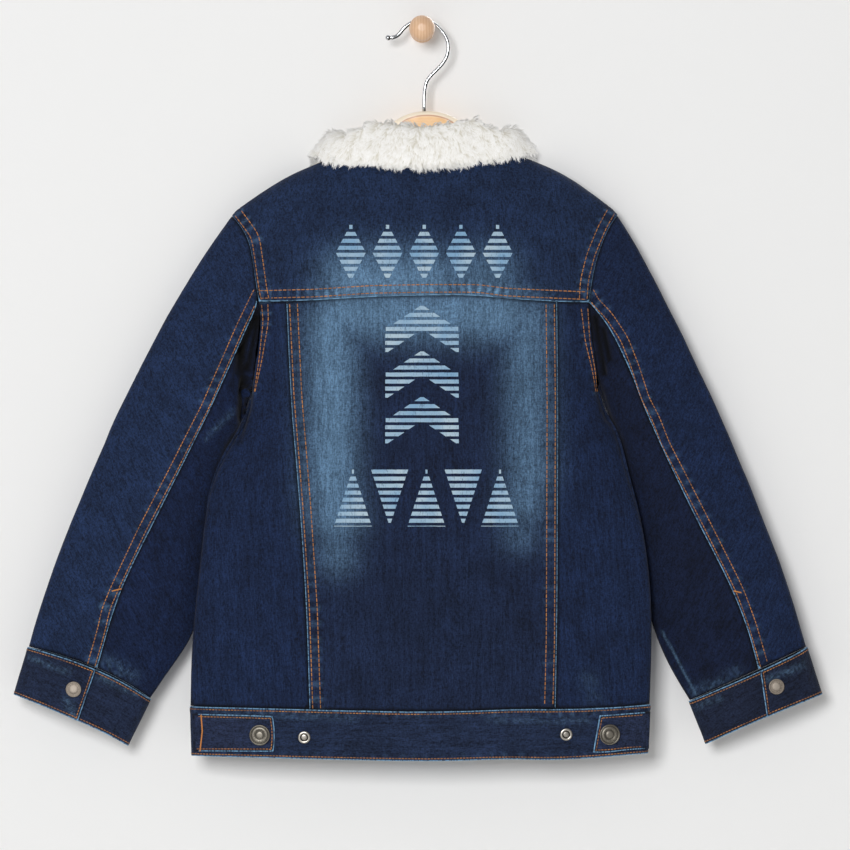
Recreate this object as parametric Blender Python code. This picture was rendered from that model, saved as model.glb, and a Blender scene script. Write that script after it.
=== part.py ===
"""Child's denim jacket with a sherpa collar, hung by its wooden hanger on a wall peg.

Frame: the origin is the centre of the peg's flat base, +Y points into the wall,
+Z is up, and the jacket's back faces -Y. All sizes below are in millimetres.
"""
import math

import bmesh
import bpy
import numpy as np
from mathutils import Vector
from mathutils.bvhtree import BVHTree

MM = 0.001

# ---------------------------------------------------------------- driving sizes
GAP = 0.3                  # between neighbouring pieces
DENIM_WALL = 2.5           # denim with its backing
BAND_WALL = 3.0            # folded denim of the waistband and cuffs
TAB_WALL = 2.2
PLACKET_WALL = 2.0
PLACKET_WIDTH = 36.0

FRONT_Y = -14.0            # face of the fronts nearest the wall
FOLD_RADIUS = 4.5          # roundness of the side and sleeve folds
FOLD_REACH = 20.0          # how far in from the edge the roundness runs

CORNER_WALL = 1.0          # thinnest denim, at the corners where several seams meet
CORNER_REACH = 26.0
ARMPIT_REACH = 45.0        # within it body and sleeve turn their own ways
NORMAL_SMOOTHING = 4
ARMHOLE_LENGTH = 160.0
ARMHOLE_BLEND = 0.14       # share of the sleeve over which it leaves the armhole's shape
BACK_FLATNESS = 4.0        # power of the curve across the body, higher is flatter
FRONT_FLATNESS = 2.4
OVER_BOARD_DROP = 10.0     # how soon the front falls away from the hanger
EDGE_COLUMNS = 5.0         # columns over which the yoke takes the armhole's depth
FRONT_EDGE_COLUMNS = 4.0
FRONT_CURVE_COLUMNS = 7.0  # columns over which the front takes the armhole's curve
SIDE_CROWDING = 1.3        # how much the columns crowd towards the side fold
FRONT_CROWDING = 1.2
CROWDING_DROP = 60.0       # height below the armpit at which they are fully crowded
FOLD_LENGTH = 24.0         # height over which the side turns from a seam to a fold
FOLD_TAPER = 0.3           # share of a soft fold's length by which it runs on at each end

HEM_HEIGHT = -612.0        # where the panels end and the band starts
BAND_HEIGHT = 43.0
BAND_SINK = 2.0            # the bands' walls reach this far below the cloth's outer face
WAIST_ROWS = [GAP, 14.0, 29.0, BAND_HEIGHT]
WAIST_STEPS = 64
WAIST_LAP = 0.045          # share of a half round by which an end passes the middle
WAIST_LAP_RISE = (4.2, 1.6)   # laps before the end where it rises, and over how many
CUFF_STEPS = 36
CUFF_LAP = 0.16
CUFF_LAP_RISE = (2.5, 1.2)
CUFF_DROP = 0.5            # space between the sleeve and the cuff's top edge
COLLAR_PARTING = 7.0       # half the gap between the collar's front ends

BUTTON_RADIUS = 9.4
SNAP_RADIUS = 7.6
STUD_RADIUS = 5.6
BUTTON_SEAT = 0.4
TAB_SEAT = 0.4
TAB_TAPER = 0.1            # how much wider the tab is at the side seam, in rows of the band
TAB_TOP = 0.45             # row of the band at its upper edge
TAB_SPAN = 2.25            # rows that it covers
TAB_BLUNT = 0.2            # share of its length at the free end that narrows
TAB_NARROWING = 0.04
TAB_ACROSS = [0.0, 0.14, 0.5, 0.86, 1.0]
PLACKET_TOP = -171.5
PLACKET_END = 2.0          # below the hem seam, over the band
PLACKET_ROWS = 6
PLACKET_BUTTONS = 5
FIRST_BUTTON_DROP = 22.0
LAST_BUTTON_RISE = 38.0

HANGER_THICK = 9.0
HANGER_Y = -24.5
HANGER_ARM_DEPTH = 27.0
HANGER_END = 152.0
HANGER_SEAT = 0.4
HANGER_DIP = 20.0          # how far the tips drop below the shoulders' ends
HANGER_TIP = 40.0          # length over which the tips narrow, to half the depth
HANGER_THINNING = 30.0     # length over which they thin, to 0.6 of the thickness
HANGER_INSIDE = [(-50.0, -112.0), (56.0, -110.0)]   # top of the arms inside the neck
CROWN_RADIUS = 39.0
CROWN_TOP = (4.0, -75.0)
CROWN_SPAN = (14, 166)     # degrees of its circle that stand above the arms
WIRE_RADIUS = 1.6
WIRE_TIP_RADII = [1.3, 2.1]   # the rounded end of the hook

PEG_NECK_RADIUS = 6.8
PEG_BALL_RADIUS = 12.0
PEG_BALL_Y = -42.0

# -------------------------------------------------------------- tables of form
# Edges of the body in front view: armhole of the back, then the side seam.
# height, left x, right x
BACK_EDGE = [
    (-169, -172.0, 177.0),
    (-182, -161.0, 168.0),
    (-195, -155.0, 162.0),
    (-210, -152.5, 157.0),
    (-230, -150.0, 152.5),
    (-247, -147.0, 150.5),
    (-265, -145.0, 151.5),
    (-285, -147.0, 153.5),
    (-305, -149.5, 157.0),
    (-326, -153.0, 159.5),
    (-340, -156.0, 163.0),
    (-357, -161.0, 172.0),
    (-377, -172.0, 177.5),
    (-397, -184.5, 182.5),
    (-415, -190.0, 188.5),
    (-433, -194.0, 195.0),
    (-465, -198.0, 201.5),
    (-495, -201.0, 205.0),
    (-540, -206.0, 207.0),
    (-575, -208.0, 206.5),
    (-612, -208.5, 205.0),
    (-660, -207.0, 203.0),
]
# Armhole of the front. height, left x, right x
FRONT_ARMHOLE = [
    (-169, -172.0, 177.0),
    (-182, -163.0, 169.0),
    (-195, -156.0, 163.0),
    (-210, -150.0, 157.0),
    (-230, -143.0, 150.0),
    (-247, -139.0, 146.0),
    (-265, -138.0, 145.0),
    (-285, -140.0, 147.5),
    (-305, -145.5, 153.0),
    (-326, -153.0, 159.5),
]
# Depth of the side seam. height, y
SIDE_DEPTH = [
    (-326, -33.0),
    (-340, -36.0),
    (-357, -39.5),
    (-377, -43.0),
    (-397, -45.5),
    (-433, -48.0),
    (-495, -49.0),
    (-540, -50.0),
    (-612, -50.0),
    (-660, -48.0),
]
ARMPIT_HEIGHT = -326.0
YOKE_HEIGHT = -247.0
SHOULDER_HEIGHT = -169.0
# Deepest line of the back and level of the front, down the middle.
# height, back y, front y
MIDDLE_DEPTH = [
    (-169, -58.0, -14.0),
    (-247, -67.0, -14.0),
    (-326, -71.0, -14.0),
    (-450, -73.0, -14.0),
    (-560, -74.0, -14.0),
    (-612, -72.0, -14.0),
    (-660, -69.0, -14.0),
]
# Lengthwise seams of the back. height, left x, right x
PANEL_SEAM = [
    (-247, -122.0, 121.5),
    (-333, -118.0, 122.4),
    (-430, -110.0, 122.0),
    (-522, -104.0, 121.5),
    (-612, -101.0, 120.0),
]
# Yoke seam and hem line, how far each is off its nominal height. x, yoke, hem
LINE_LIFT = [
    (-209, 0.0, 1.0),
    (-148, 0.0, 0.0),
    (-97, 1.0, -1.2),
    (-46, 4.0, -2.4),
    (3, 5.3, -3.0),
    (50, 5.3, -2.0),
    (80, 2.2, 0.0),
    (121, 0.0, 2.0),
    (206, -1.0, 4.0),
]
# Shoulder seams from the sleeve to the neck, with the neckline of the back between them.
# x, y, height, a row for each column of the back
YOKE_TOP = [
    (-172.0, -24.0, -169.0),
    (-168.0, -24.0, -164.2),
    (-162.5, -24.0, -160.0),
    (-155.0, -24.0, -154.5),
    (-145.5, -24.0, -148.0),
    (-134.0, -24.0, -140.6),
    (-119.0, -24.0, -131.8),
    (-98.0, -24.0, -122.6),
    (-76.0, -25.0, -114.5),
    (-62.0, -35.5, -118.5),
    (-34.0, -40.0, -123.5),
    (0.0, -41.0, -125.5),
    (34.0, -40.0, -122.5),
    (62.0, -35.5, -115.5),
    (78.0, -25.0, -110.5),
    (98.0, -24.0, -118.0),
    (119.0, -24.0, -126.6),
    (135.0, -24.0, -135.3),
    (149.0, -24.0, -145.2),
    (159.5, -24.0, -152.8),
    (167.5, -24.0, -159.0),
    (173.0, -24.0, -163.6),
    (177.0, -24.0, -168.0),
]
NECK_COLUMNS = (8, 14)
# Neckline of the fronts, from the neck point to the middle. x share, y, share of the drop
FRONT_NECK = [
    (1.00, -25.0, 0.0),
    (0.95, -16.2, 0.14),
    (0.88, -14.2, 0.38),
    (0.70, -14.0, 0.72),
    (0.40, -14.0, 0.93),
    (0.00, -14.0, 1.0),
]
FRONT_NECK_LOW = -167.0
# Sleeve lines in front view, shoulder to cuff: outer edge, back seam, inner edge. x, height
LEFT_SLEEVE = {
    "outer": [(-172, -169), (-194, -200), (-211, -227), (-242, -281), (-269, -335), (-294, -389),
              (-316, -443), (-337, -497), (-355.5, -558)],
    "seam": [(-147, -247), (-159, -273), (-176, -312), (-207.5, -378), (-221, -405), (-246, -455),
             (-271, -506), (-283, -543), (-292.5, -577)],
    "inner": [(-153, -326), (-164, -350), (-176, -378), (-187, -412), (-193, -455), (-199, -500),
              (-207, -550), (-226, -577), (-245, -605)],
}
RIGHT_SLEEVE = {
    "outer": [(177, -168), (197, -200), (211, -227), (238, -281), (263, -335), (287, -389),
              (308, -443), (329, -497), (347, -558)],
    "seam": [(150.5, -247), (163, -262), (186, -306), (205, -354), (229.5, -407), (252, -453),
             (275, -497), (292, -538), (303, -578)],
    "inner": [(159.5, -326), (171, -347), (180, -374), (187, -411), (193, -455), (199, -500),
              (208, -541), (222, -575), (241, -607)],
}
# Depth of the sleeve along its length.
# share, outer edge y, inner edge y, back bulge, front bulge
SLEEVE_DEPTH = [
    (0.00, -24.0, -33.0, 24.0, 13.0),
    (0.12, -27.0, -29.0, 25.0, 12.0),
    (0.30, -31.0, -26.5, 25.0, 12.0),
    (0.60, -35.0, -26.0, 24.0, 13.0),
    (0.85, -36.0, -30.0, 19.0, 14.0),
    (1.00, -36.0, -34.0, 15.0, 13.0),
]
# Rows of the armhole as shares: shoulder to yoke seam, yoke seam to armpit; then heights.
YOKE_ROWS = [0.0, 0.022, 0.07, 0.20, 0.42, 0.70, 1.0]
ARMHOLE_ROWS = [0.26, 0.50, 0.72, 0.89, 1.0]
SIDE_ROWS = [-345, -364, -380, -404, -434, -470, -505, -540, -576, HEM_HEIGHT]
SLEEVE_RINGS = [0.0, 0.03, 0.07, 0.12, 0.18, 0.24, 0.31, 0.38, 0.46, 0.54, 0.62, 0.70, 0.78,
                0.86, 0.93, 1.0]
UNDER_SEAM_IN = 0.05       # how far the under sleeve's seam leaves the fold by the cuff
# Cuffs in front view: x, height at the top and at the bottom edge, per line.
LEFT_CUFF = {"outer": [(-355.5, -558), (-368, -601)], "seam": [(-293.5, -577.5), (-308, -623)],
             "inner": [(-245, -605), (-265.5, -647)]}
RIGHT_CUFF = {"outer": [(347, -558), (361, -601)], "seam": [(304.5, -579), (310.5, -621)],
              "inner": [(241, -607), (256.5, -646)]}
# Soft folds in the cloth: start x, height, end x, height, width, rise towards the viewer
BODY_FOLDS = [
    (-165, -372, -128, -470, 14, -2.0),
    (-150, -430, -120, -590, 17, 1.8),
    (168, -385, 140, -500, 15, -2.0),
    (150, -470, 158, -600, 16, 1.8),
    (-60, -520, -45, -608, 18, 1.5),
    (40, -500, 60, -608, 20, -1.5),
]
SLEEVE_FOLDS = [
    (-168, -330, -232, -352, 11, 3.0),
    (-186, -398, -262, -372, 12, -2.5),
    (-205, -440, -285, -412, 12, 2.5),
    (-212, -520, -300, -470, 14, -2.2),
    (-240, -560, -320, -520, 13, 2.2),
    (172, -345, 226, -362, 11, 3.0),
    (190, -410, 262, -395, 12, -2.5),
    (205, -470, 290, -440, 13, 2.5),
    (215, -540, 310, -500, 14, -2.2),
    (238, -575, 318, -548, 13, 2.0),
]

# Collar at each point of the neckline, middle of the back to the middle of the front.
# point; direction the fall lies in (x, y, z); outward side (x, y, z); height of the fold,
# thickness, reach of the fall, thickness of its tip, stand inside the neck, clearance
COLLAR = [
    (0, 0.00, -0.10, -0.99, 0, -1, 0.3, 39, 18, 6.0, 12, 7.5, 1.6),
    (1, 0.06, -0.10, -0.99, 0, -1, 0.3, 40, 18, 6.0, 12, 7.0, 1.6),
    (2, 0.35, -0.12, -0.93, 0.2, -1, 0.6, 36, 18, 10.5, 12, 2.0, 1.6),
    (2.6, 0.66, -0.10, -0.62, 0.25, -0.6, 0.8, 22, 25, 18, 12, 0.5, 2.2),
    (3, 0.92, -0.05, -0.36, 0.3, 0, 1, 8, 26, 27, 11, -1.5, 2.6),
    (4, 0.88, 0.20, -0.46, 0.3, 0.7, 0.7, 7, 15, 29, 8, -1.0, 3.4),
    (5, 0.84, 0.00, -0.54, 0, 1, 0.2, 9, 9.0, 33, 8, 1.0, 1.6),
    (6, 0.70, 0.00, -0.71, 0, 1, 0, 8, 9.0, 38, 8, 1.5, 3.4),
    (7, 0.58, 0.00, -0.81, 0, 1, 0, 8, 9.0, 46, 8, 1.5, 3.4),
    (8, 0.45, 0.00, -0.89, 0, 1, 0, 8, 9.0, 52, 7, 1.5, 3.4),
]
COLLAR_STEPS = 3           # rings between one point of the neckline and the next
# Centre line of the hook wire, tip to crown. x, height
HOOK_LINE = [
    (-30.8, -9.2), (-26.5, -9.5), (-22.0, -7.4), (-19.0, -3.0), (-15.5, 1.6), (-8.0, 6.8),
    (0.0, 8.8), (8.0, 6.8), (14.5, 2.2), (19.6, -3.6), (22.9, -10.0), (23.8, -16.5),
    (22.6, -24.0), (19.0, -30.5), (13.0, -37.0), (7.0, -43.0), (4.2, -47.2), (3.4, -52.0),
    (3.4, -63.0), (3.4, -73.0),
]
# Turned profile of the peg. distance from the wall, radius
PEG_PROFILE = [
    (0.0, 11.0), (2.5, 11.0), (4.5, 9.6), (7.0, 7.6), (11.0, 6.8), (31.5, 6.8),
]
# Fasteners in front view: x, height
TAB_BUTTONS = {"left": (-145.0, -636.0), "right": (168.0, -635.4)}
WAIST_STUDS = {"left": (-106.0, -638.5), "right": (129.3, -635.5)}
CUFF_SNAPS = {"left": (-313.4, -596.0), "right": (319.0, -593.5)}
# Tabs: edge at the side seam and middle of the free end, x; height; how far the corners of the
# free end are drawn back, and how far its lower corner reaches past the upper one, as shares
TABS = {
    "left": {"outer": -204.5, "tip": -132.0, "height": -636.0, "point": 0.018, "slant": 0.0},
    "right": {"outer": 203.0, "tip": 156.6, "height": -632.0, "point": 0.0, "slant": 0.065},
}
# Fastener profiles: distance along the axis, share of the radius
BUTTON_PROFILE = [(0.0, 0.42), (1.6, 0.42), (1.8, 0.95), (2.8, 1.0), (3.9, 0.92), (4.1, 0.72)]
SNAP_PROFILE = [(0.0, 0.62), (0.7, 0.66), (0.9, 1.0), (1.6, 1.0), (2.3, 0.86), (2.5, 0.60)]
STUD_PROFILE = [(0.0, 0.9), (0.7, 1.0), (1.2, 0.94), (1.5, 0.72), (1.3, 0.5)]


# ---------------------------------------------------------------- small helpers
def curve_through(rows, at):
    """Read a smooth curve through the table's rows at one value of the first column."""
    rows = np.asarray(rows, float)
    keys, values = rows[:, 0], rows[:, 1:]
    if keys[0] > keys[-1]:
        keys, values = keys[::-1], values[::-1]
    at = min(max(at, keys[0]), keys[-1])
    i = min(int(np.searchsorted(keys, at, side="right")) - 1, len(keys) - 2)
    steps = np.diff(keys)
    slopes = np.diff(values, axis=0) / steps[:, None]

    def tangent(k):
        if k == 0:
            return slopes[0]
        if k == len(keys) - 1:
            return slopes[-1]
        before, after = steps[k - 1], steps[k]
        return (slopes[k - 1] * after + slopes[k] * before) / (before + after)

    h = steps[i]
    t = (at - keys[i]) / h
    return ((2 * t**3 - 3 * t**2 + 1) * values[i] + (t**3 - 2 * t**2 + t) * h * tangent(i)
            + (3 * t**2 - 2 * t**3) * values[i + 1] + (t**3 - t**2) * h * tangent(i + 1))


def by_length(points, share):
    """Point on a smooth line at a share of its length."""
    points = np.asarray(points, float)
    runs = np.r_[0, np.cumsum(np.linalg.norm(np.diff(points, axis=0), axis=1))]
    return curve_through(np.column_stack([runs / runs[-1], points]), share)


def ease(t):
    t = min(max(t, 0.0), 1.0)
    return t * t * (3 - 2 * t)


def unit(v):
    v = np.asarray(v, float)
    return v / np.linalg.norm(v)


def fold_rise(folds, x, z):
    """Sum of the soft ridges and troughs at a place on the cloth."""
    rise = 0.0
    for x0, z0, x1, z1, width, height in folds:
        along = np.array([x1 - x0, z1 - z0], float)
        length = np.linalg.norm(along)
        along /= length
        place = np.array([x - x0, z - z0])
        s = place @ along / length
        off = place @ np.array([-along[1], along[0]])
        if -FOLD_TAPER < s < 1 + FOLD_TAPER:
            ends = 1.5 * FOLD_TAPER
            taper = ease((s + FOLD_TAPER) / ends) * ease((1 + FOLD_TAPER - s) / ends)
            rise += height * taper * math.exp(-(off / width) ** 2)
    return rise


def edge_round(distance):
    """Square of the rise of a rounded fold, at a distance in from its edge."""
    return 2 * FOLD_RADIUS * FOLD_REACH * (1 - math.exp(-distance / FOLD_REACH))


# ------------------------------------------------------------ form of the body
SIDE_COLUMNS, CENTRE_COLUMNS, FRONT_COLUMNS = 6, 10, 13
BACK_LAST = 2 * SIDE_COLUMNS + CENTRE_COLUMNS
YOKE_LAST = len(YOKE_ROWS) - 1
ARMPIT_ROW = YOKE_LAST + len(ARMHOLE_ROWS)


def armhole_share(height):
    """0 at the shoulder, a half at the yoke seam, 1 at the armpit."""
    if height >= YOKE_HEIGHT:
        return 0.5 * (SHOULDER_HEIGHT - height) / (SHOULDER_HEIGHT - YOKE_HEIGHT)
    return 0.5 + 0.5 * (YOKE_HEIGHT - height) / (YOKE_HEIGHT - ARMPIT_HEIGHT)


def row_heights():
    upper = [SHOULDER_HEIGHT + f * (YOKE_HEIGHT - SHOULDER_HEIGHT) for f in YOKE_ROWS]
    armhole = [YOKE_HEIGHT + f * (ARMPIT_HEIGHT - YOKE_HEIGHT) for f in ARMHOLE_ROWS]
    return upper + armhole + SIDE_ROWS


def line_lift(x, height):
    """The yoke seam and the hem are not quite level."""
    yoke, hem = curve_through(LINE_LIFT, x)
    s = (YOKE_HEIGHT - height) / (YOKE_HEIGHT - HEM_HEIGHT)
    return yoke * (1 - ease(s * 2)) + hem * ease(s * 2 - 1)


def body_edges(height, side):
    """Left and right x and the depth of the edges of the back (-1) or front (+1)."""
    if height > ARMPIT_HEIGHT:
        left, right = curve_through(BACK_EDGE if side < 0 else FRONT_ARMHOLE, height)
        return left, right, ring_depth(0.0, armhole_share(height), ARMHOLE_LENGTH, side)
    left, right = curve_through(BACK_EDGE, height)
    return left, right, curve_through(SIDE_DEPTH, height)[0]


def fold_share(height):
    """How far the side of the body is a rounded fold: none at the armhole, whole below it."""
    return ease((ARMPIT_HEIGHT + 2 / 3 * FOLD_LENGTH - height) / FOLD_LENGTH)


def column_power(height, crowding):
    """Columns crowd towards the side fold below the armpit."""
    return 1 + crowding * ease((ARMPIT_HEIGHT - height) / CROWDING_DROP)


def sheet_depth(height, x, side):
    """y of the back (side -1) or of the front (side +1)."""
    left, right, edge_y = body_edges(height, side)
    middle = curve_through(MIDDLE_DEPTH, height)[0 if side < 0 else 1]
    width = right - left
    share = min(max((x - left) / width, 0.0), 1.0)
    form = 1 - abs(2 * share - 1) ** (BACK_FLATNESS if side < 0 else FRONT_FLATNESS)
    rounding = fold_share(height) * edge_round(width * share * (1 - share))
    full = fold_share(height) * edge_round(width / 4)
    bulge = math.sqrt(max((middle - edge_y) ** 2 - full, 0.0)) * form
    rise = math.sqrt(bulge**2 + rounding)
    if side < 0:
        rise += fold_rise(BODY_FOLDS, x, height) * ease(width * share * (1 - share) / 25)
    return edge_y + side * rise


def back_columns(height):
    """x of every column of the back below the yoke."""
    left, right, _ = body_edges(height, -1)
    seam_left, seam_right = curve_through(PANEL_SEAM, height)
    power = column_power(height, SIDE_CROWDING)
    side = [(k / SIDE_COLUMNS) ** power for k in range(SIDE_COLUMNS + 1)]
    middle = [seam_left + (seam_right - seam_left) * k / CENTRE_COLUMNS
              for k in range(1, CENTRE_COLUMNS)]
    return ([left + (seam_left - left) * f for f in side] + middle
            + [right + (seam_right - right) * f for f in reversed(side)])


def back_point(height, x):
    return np.array([x, sheet_depth(height, x, -1), height + line_lift(x, height)])


def yoke_point(share, column):
    """share 0 at the shoulder line, 1 at the yoke seam."""
    height = SHOULDER_HEIGHT + share * (YOKE_HEIGHT - SHOULDER_HEIGHT)
    left, right, edge_y = body_edges(height, -1)
    top = np.array(YOKE_TOP[column])
    low_columns = back_columns(YOKE_HEIGHT)
    low = back_point(YOKE_HEIGHT, low_columns[column])
    u_top = (top[0] - YOKE_TOP[0][0]) / (YOKE_TOP[-1][0] - YOKE_TOP[0][0])
    u_low = (low[0] - low_columns[0]) / (low_columns[-1] - low_columns[0])
    x = left + (right - left) * (u_top + (u_low - u_top) * share)
    over_board = math.sqrt(1 - (1 - share) ** 1.4)
    leaning = math.sin(share * math.pi / 2)
    inside = NECK_COLUMNS[0] < column < NECK_COLUMNS[1]
    neck = 1.0 if inside else 0.35 * (column in NECK_COLUMNS)
    y = top[1] + (low[1] - top[1]) * (over_board * (1 - neck) + leaning * neck)
    at_edge = ease(min(column, BACK_LAST - column) / EDGE_COLUMNS)
    y = edge_y * (1 - at_edge) + y * at_edge
    return np.array([x, y, top[2] + (low[2] - top[2]) * share])


def front_top(side, k):
    """Top edge of one front: shoulder seam, then neckline. k counts from the sleeve."""
    if k <= NECK_COLUMNS[0]:
        return np.array(YOKE_TOP[k if side < 0 else BACK_LAST - k])
    neck = np.array(YOKE_TOP[NECK_COLUMNS[0 if side < 0 else 1]])
    share, y, drop = FRONT_NECK[k - NECK_COLUMNS[0]]
    return np.array([neck[0] * share, y, neck[2] + (FRONT_NECK_LOW - neck[2]) * drop])


def front_point(row, side, k):
    """Point of one front at a body row; k runs from the side seam to the middle."""
    height = row_heights()[row]
    left, right, edge_y = body_edges(height, 1)
    edge = left if side < 0 else right
    power = column_power(height, FRONT_CROWDING)
    x = edge * (1 - (k / FRONT_COLUMNS) ** power)
    if row >= YOKE_LAST:
        lift = line_lift(x, height) * ease((YOKE_HEIGHT - height) / 60)
        return np.array([x, sheet_depth(height, x, 1), height + lift])
    share = YOKE_ROWS[row]
    top, low = front_top(side, k), front_point(YOKE_LAST, side, k)
    edge_top, edge_low = front_top(side, 0)[0], front_point(YOKE_LAST, side, 0)[0]
    curve = edge - edge_top + (edge_top - edge_low) * share
    inner = ease(k / FRONT_CURVE_COLUMNS)
    x = top[0] + (low[0] - top[0]) * (share + (share**1.6 - share) * inner) + curve * (1 - inner)
    z = top[2] + (low[2] - top[2]) * share
    drop = min((top[2] - z) / OVER_BOARD_DROP, 1.0)
    y = top[1] + (low[1] - top[1]) * math.sqrt(1 - (1 - drop) ** 2)
    at_edge = ease(k / FRONT_EDGE_COLUMNS)
    return np.array([x, edge_y * (1 - at_edge) + y * at_edge, z])


# ---------------------------------------------------------- form of the sleeves
def across(a, b, c, q):
    """Smooth line a-b-c, b at the middle."""
    return a * (2 * q - 1) * (q - 1) + b * 4 * q * (1 - q) + c * q * (2 * q - 1)


def ring_share(turn):
    """Share across a ring for a place round it: 0 outer edge, 1 inner edge, 2 outer edge."""
    return (1 - math.cos(math.pi * turn)) / 2


def ring_turn(share):
    return math.acos(1 - 2 * share) / math.pi


def ring_depth(along, q, width, side):
    """y of the sleeve: back (-1) or front (+1), q across from the outer to the inner edge."""
    outer_y, inner_y, back, front = curve_through(SLEEVE_DEPTH, along)
    bulge = back if side < 0 else front
    body = math.sqrt(max(bulge**2 - edge_round(width / 4), 0.0)) * math.sin(math.pi * q)
    return outer_y + (inner_y - outer_y) * q + side * math.sqrt(body**2 + edge_round(width * q * (1 - q)))


def ring_side(turn):
    return -1 if turn % 2 <= 1 else 1


def sleeve_point(lines, along, turn):
    outer, seam, inner = (by_length(lines[key], along) for key in ("outer", "seam", "inner"))
    q = ring_share(turn)
    x, z = across(outer, seam, inner, q)
    y = ring_depth(along, q, np.linalg.norm(inner - outer), ring_side(turn))
    if ring_side(turn) < 0:
        y -= fold_rise(SLEEVE_FOLDS, x, z) * math.sin(math.pi * q)
    return np.array([x, y, z])


def cuff_point(lines, along, turn):
    outer, seam, inner = (np.array(lines[key][0]) * (1 - along) + np.array(lines[key][1]) * along
                          for key in ("outer", "seam", "inner"))
    q = ring_share(turn)
    x, z = across(outer, seam, inner, q)
    return np.array([x, ring_depth(1.0, q, np.linalg.norm(inner - outer), ring_side(turn)), z])


def sleeve_turns(along):
    """Places round the sleeve, one for each row of the armhole, back then front."""
    back = [ring_turn(0.5 * f) for f in YOKE_ROWS]
    under = [ring_turn(0.5 + 0.5 * f) for f in ARMHOLE_ROWS]
    front = [2 - t for t in reversed(back[1:] + under[:-1])]
    under_end = 1 - UNDER_SEAM_IN * along
    under = [0.5 + (t - 0.5) * (under_end - 0.5) / 0.5 for t in under]
    return back + under + front


# ------------------------------------------------------- the cloth as one skin
class Skin:
    """Outer faces of the whole jacket, joined at the seams, each face in one panel."""

    def __init__(self):
        self.points = []
        self.index = {}
        self.faces = []

    def add(self, point):
        key = tuple(np.round(point, 3))
        if key not in self.index:
            self.index[key] = len(self.points)
            self.points.append(np.array(point, float))
        return self.index[key]

    def sheet(self, grid, panel_of, flip=False):
        rows = [[self.add(p) for p in row] for row in grid]
        for r in range(len(rows) - 1):
            for c in range(len(rows[0]) - 1):
                loop = [rows[r][c], rows[r + 1][c], rows[r + 1][c + 1], rows[r][c + 1]]
                self.faces.append((loop[::-1] if flip else loop, panel_of(r, c)))

    def normals(self, keep):
        """Outward direction at each point over the kept faces, smoothed against kinks."""
        out = np.zeros((len(self.points), 3))
        near = [set() for _ in self.points]
        for loop, panel in self.faces:
            if not keep(panel):
                continue
            for i, v in enumerate(loop):
                before, after = loop[i - 1], loop[(i + 1) % len(loop)]
                near[v] |= {before, after}
                a, b = self.points[after] - self.points[v], self.points[before] - self.points[v]
                n = np.cross(a, b)
                size = np.linalg.norm(n)
                if size > 1e-9:
                    out[v] += n / size * math.acos(np.clip(unit(a) @ unit(b), -1, 1))
        size = np.linalg.norm(out, axis=1)
        used = [v for v in range(len(out)) if size[v] > 0]
        out[used] /= size[used][:, None]
        for _ in range(NORMAL_SMOOTHING):
            fresh = out.copy()
            for v in used:
                fresh[v] = unit(out[v] + sum(out[w] for w in near[v]) / len(near[v]))
            out = fresh
        return out

    def directions(self):
        """Directions of the walls: shared at the seams, each tube's own in the armpit."""
        joint = self.normals(lambda panel: True)
        body = self.normals(lambda panel: not panel.startswith("sleeve"))
        sleeve = self.normals(lambda panel: panel.startswith("sleeve"))
        for v in range(len(joint)):
            own = self.armpit_share(v)
            for part in (body, sleeve):
                if part[v].any():
                    part[v] = unit(joint[v] * (1 - own) + part[v] * own)
        return {"body": body, "sleeve": sleeve}

    def armpit_share(self, v):
        far = min(np.linalg.norm(self.points[v] - corner) for corner in self.corners[:2])
        return ease((ARMPIT_REACH - far) / (0.7 * ARMPIT_REACH))

    def wall(self, v):
        """Cloth is thinner where seams meet: armpit, shoulder point and neck point."""
        wall = DENIM_WALL
        for corner in self.corners:
            far = np.linalg.norm(self.points[v] - corner)
            wall = min(wall, CORNER_WALL + (DENIM_WALL - CORNER_WALL) * ease(far / CORNER_REACH))
        return wall


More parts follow.
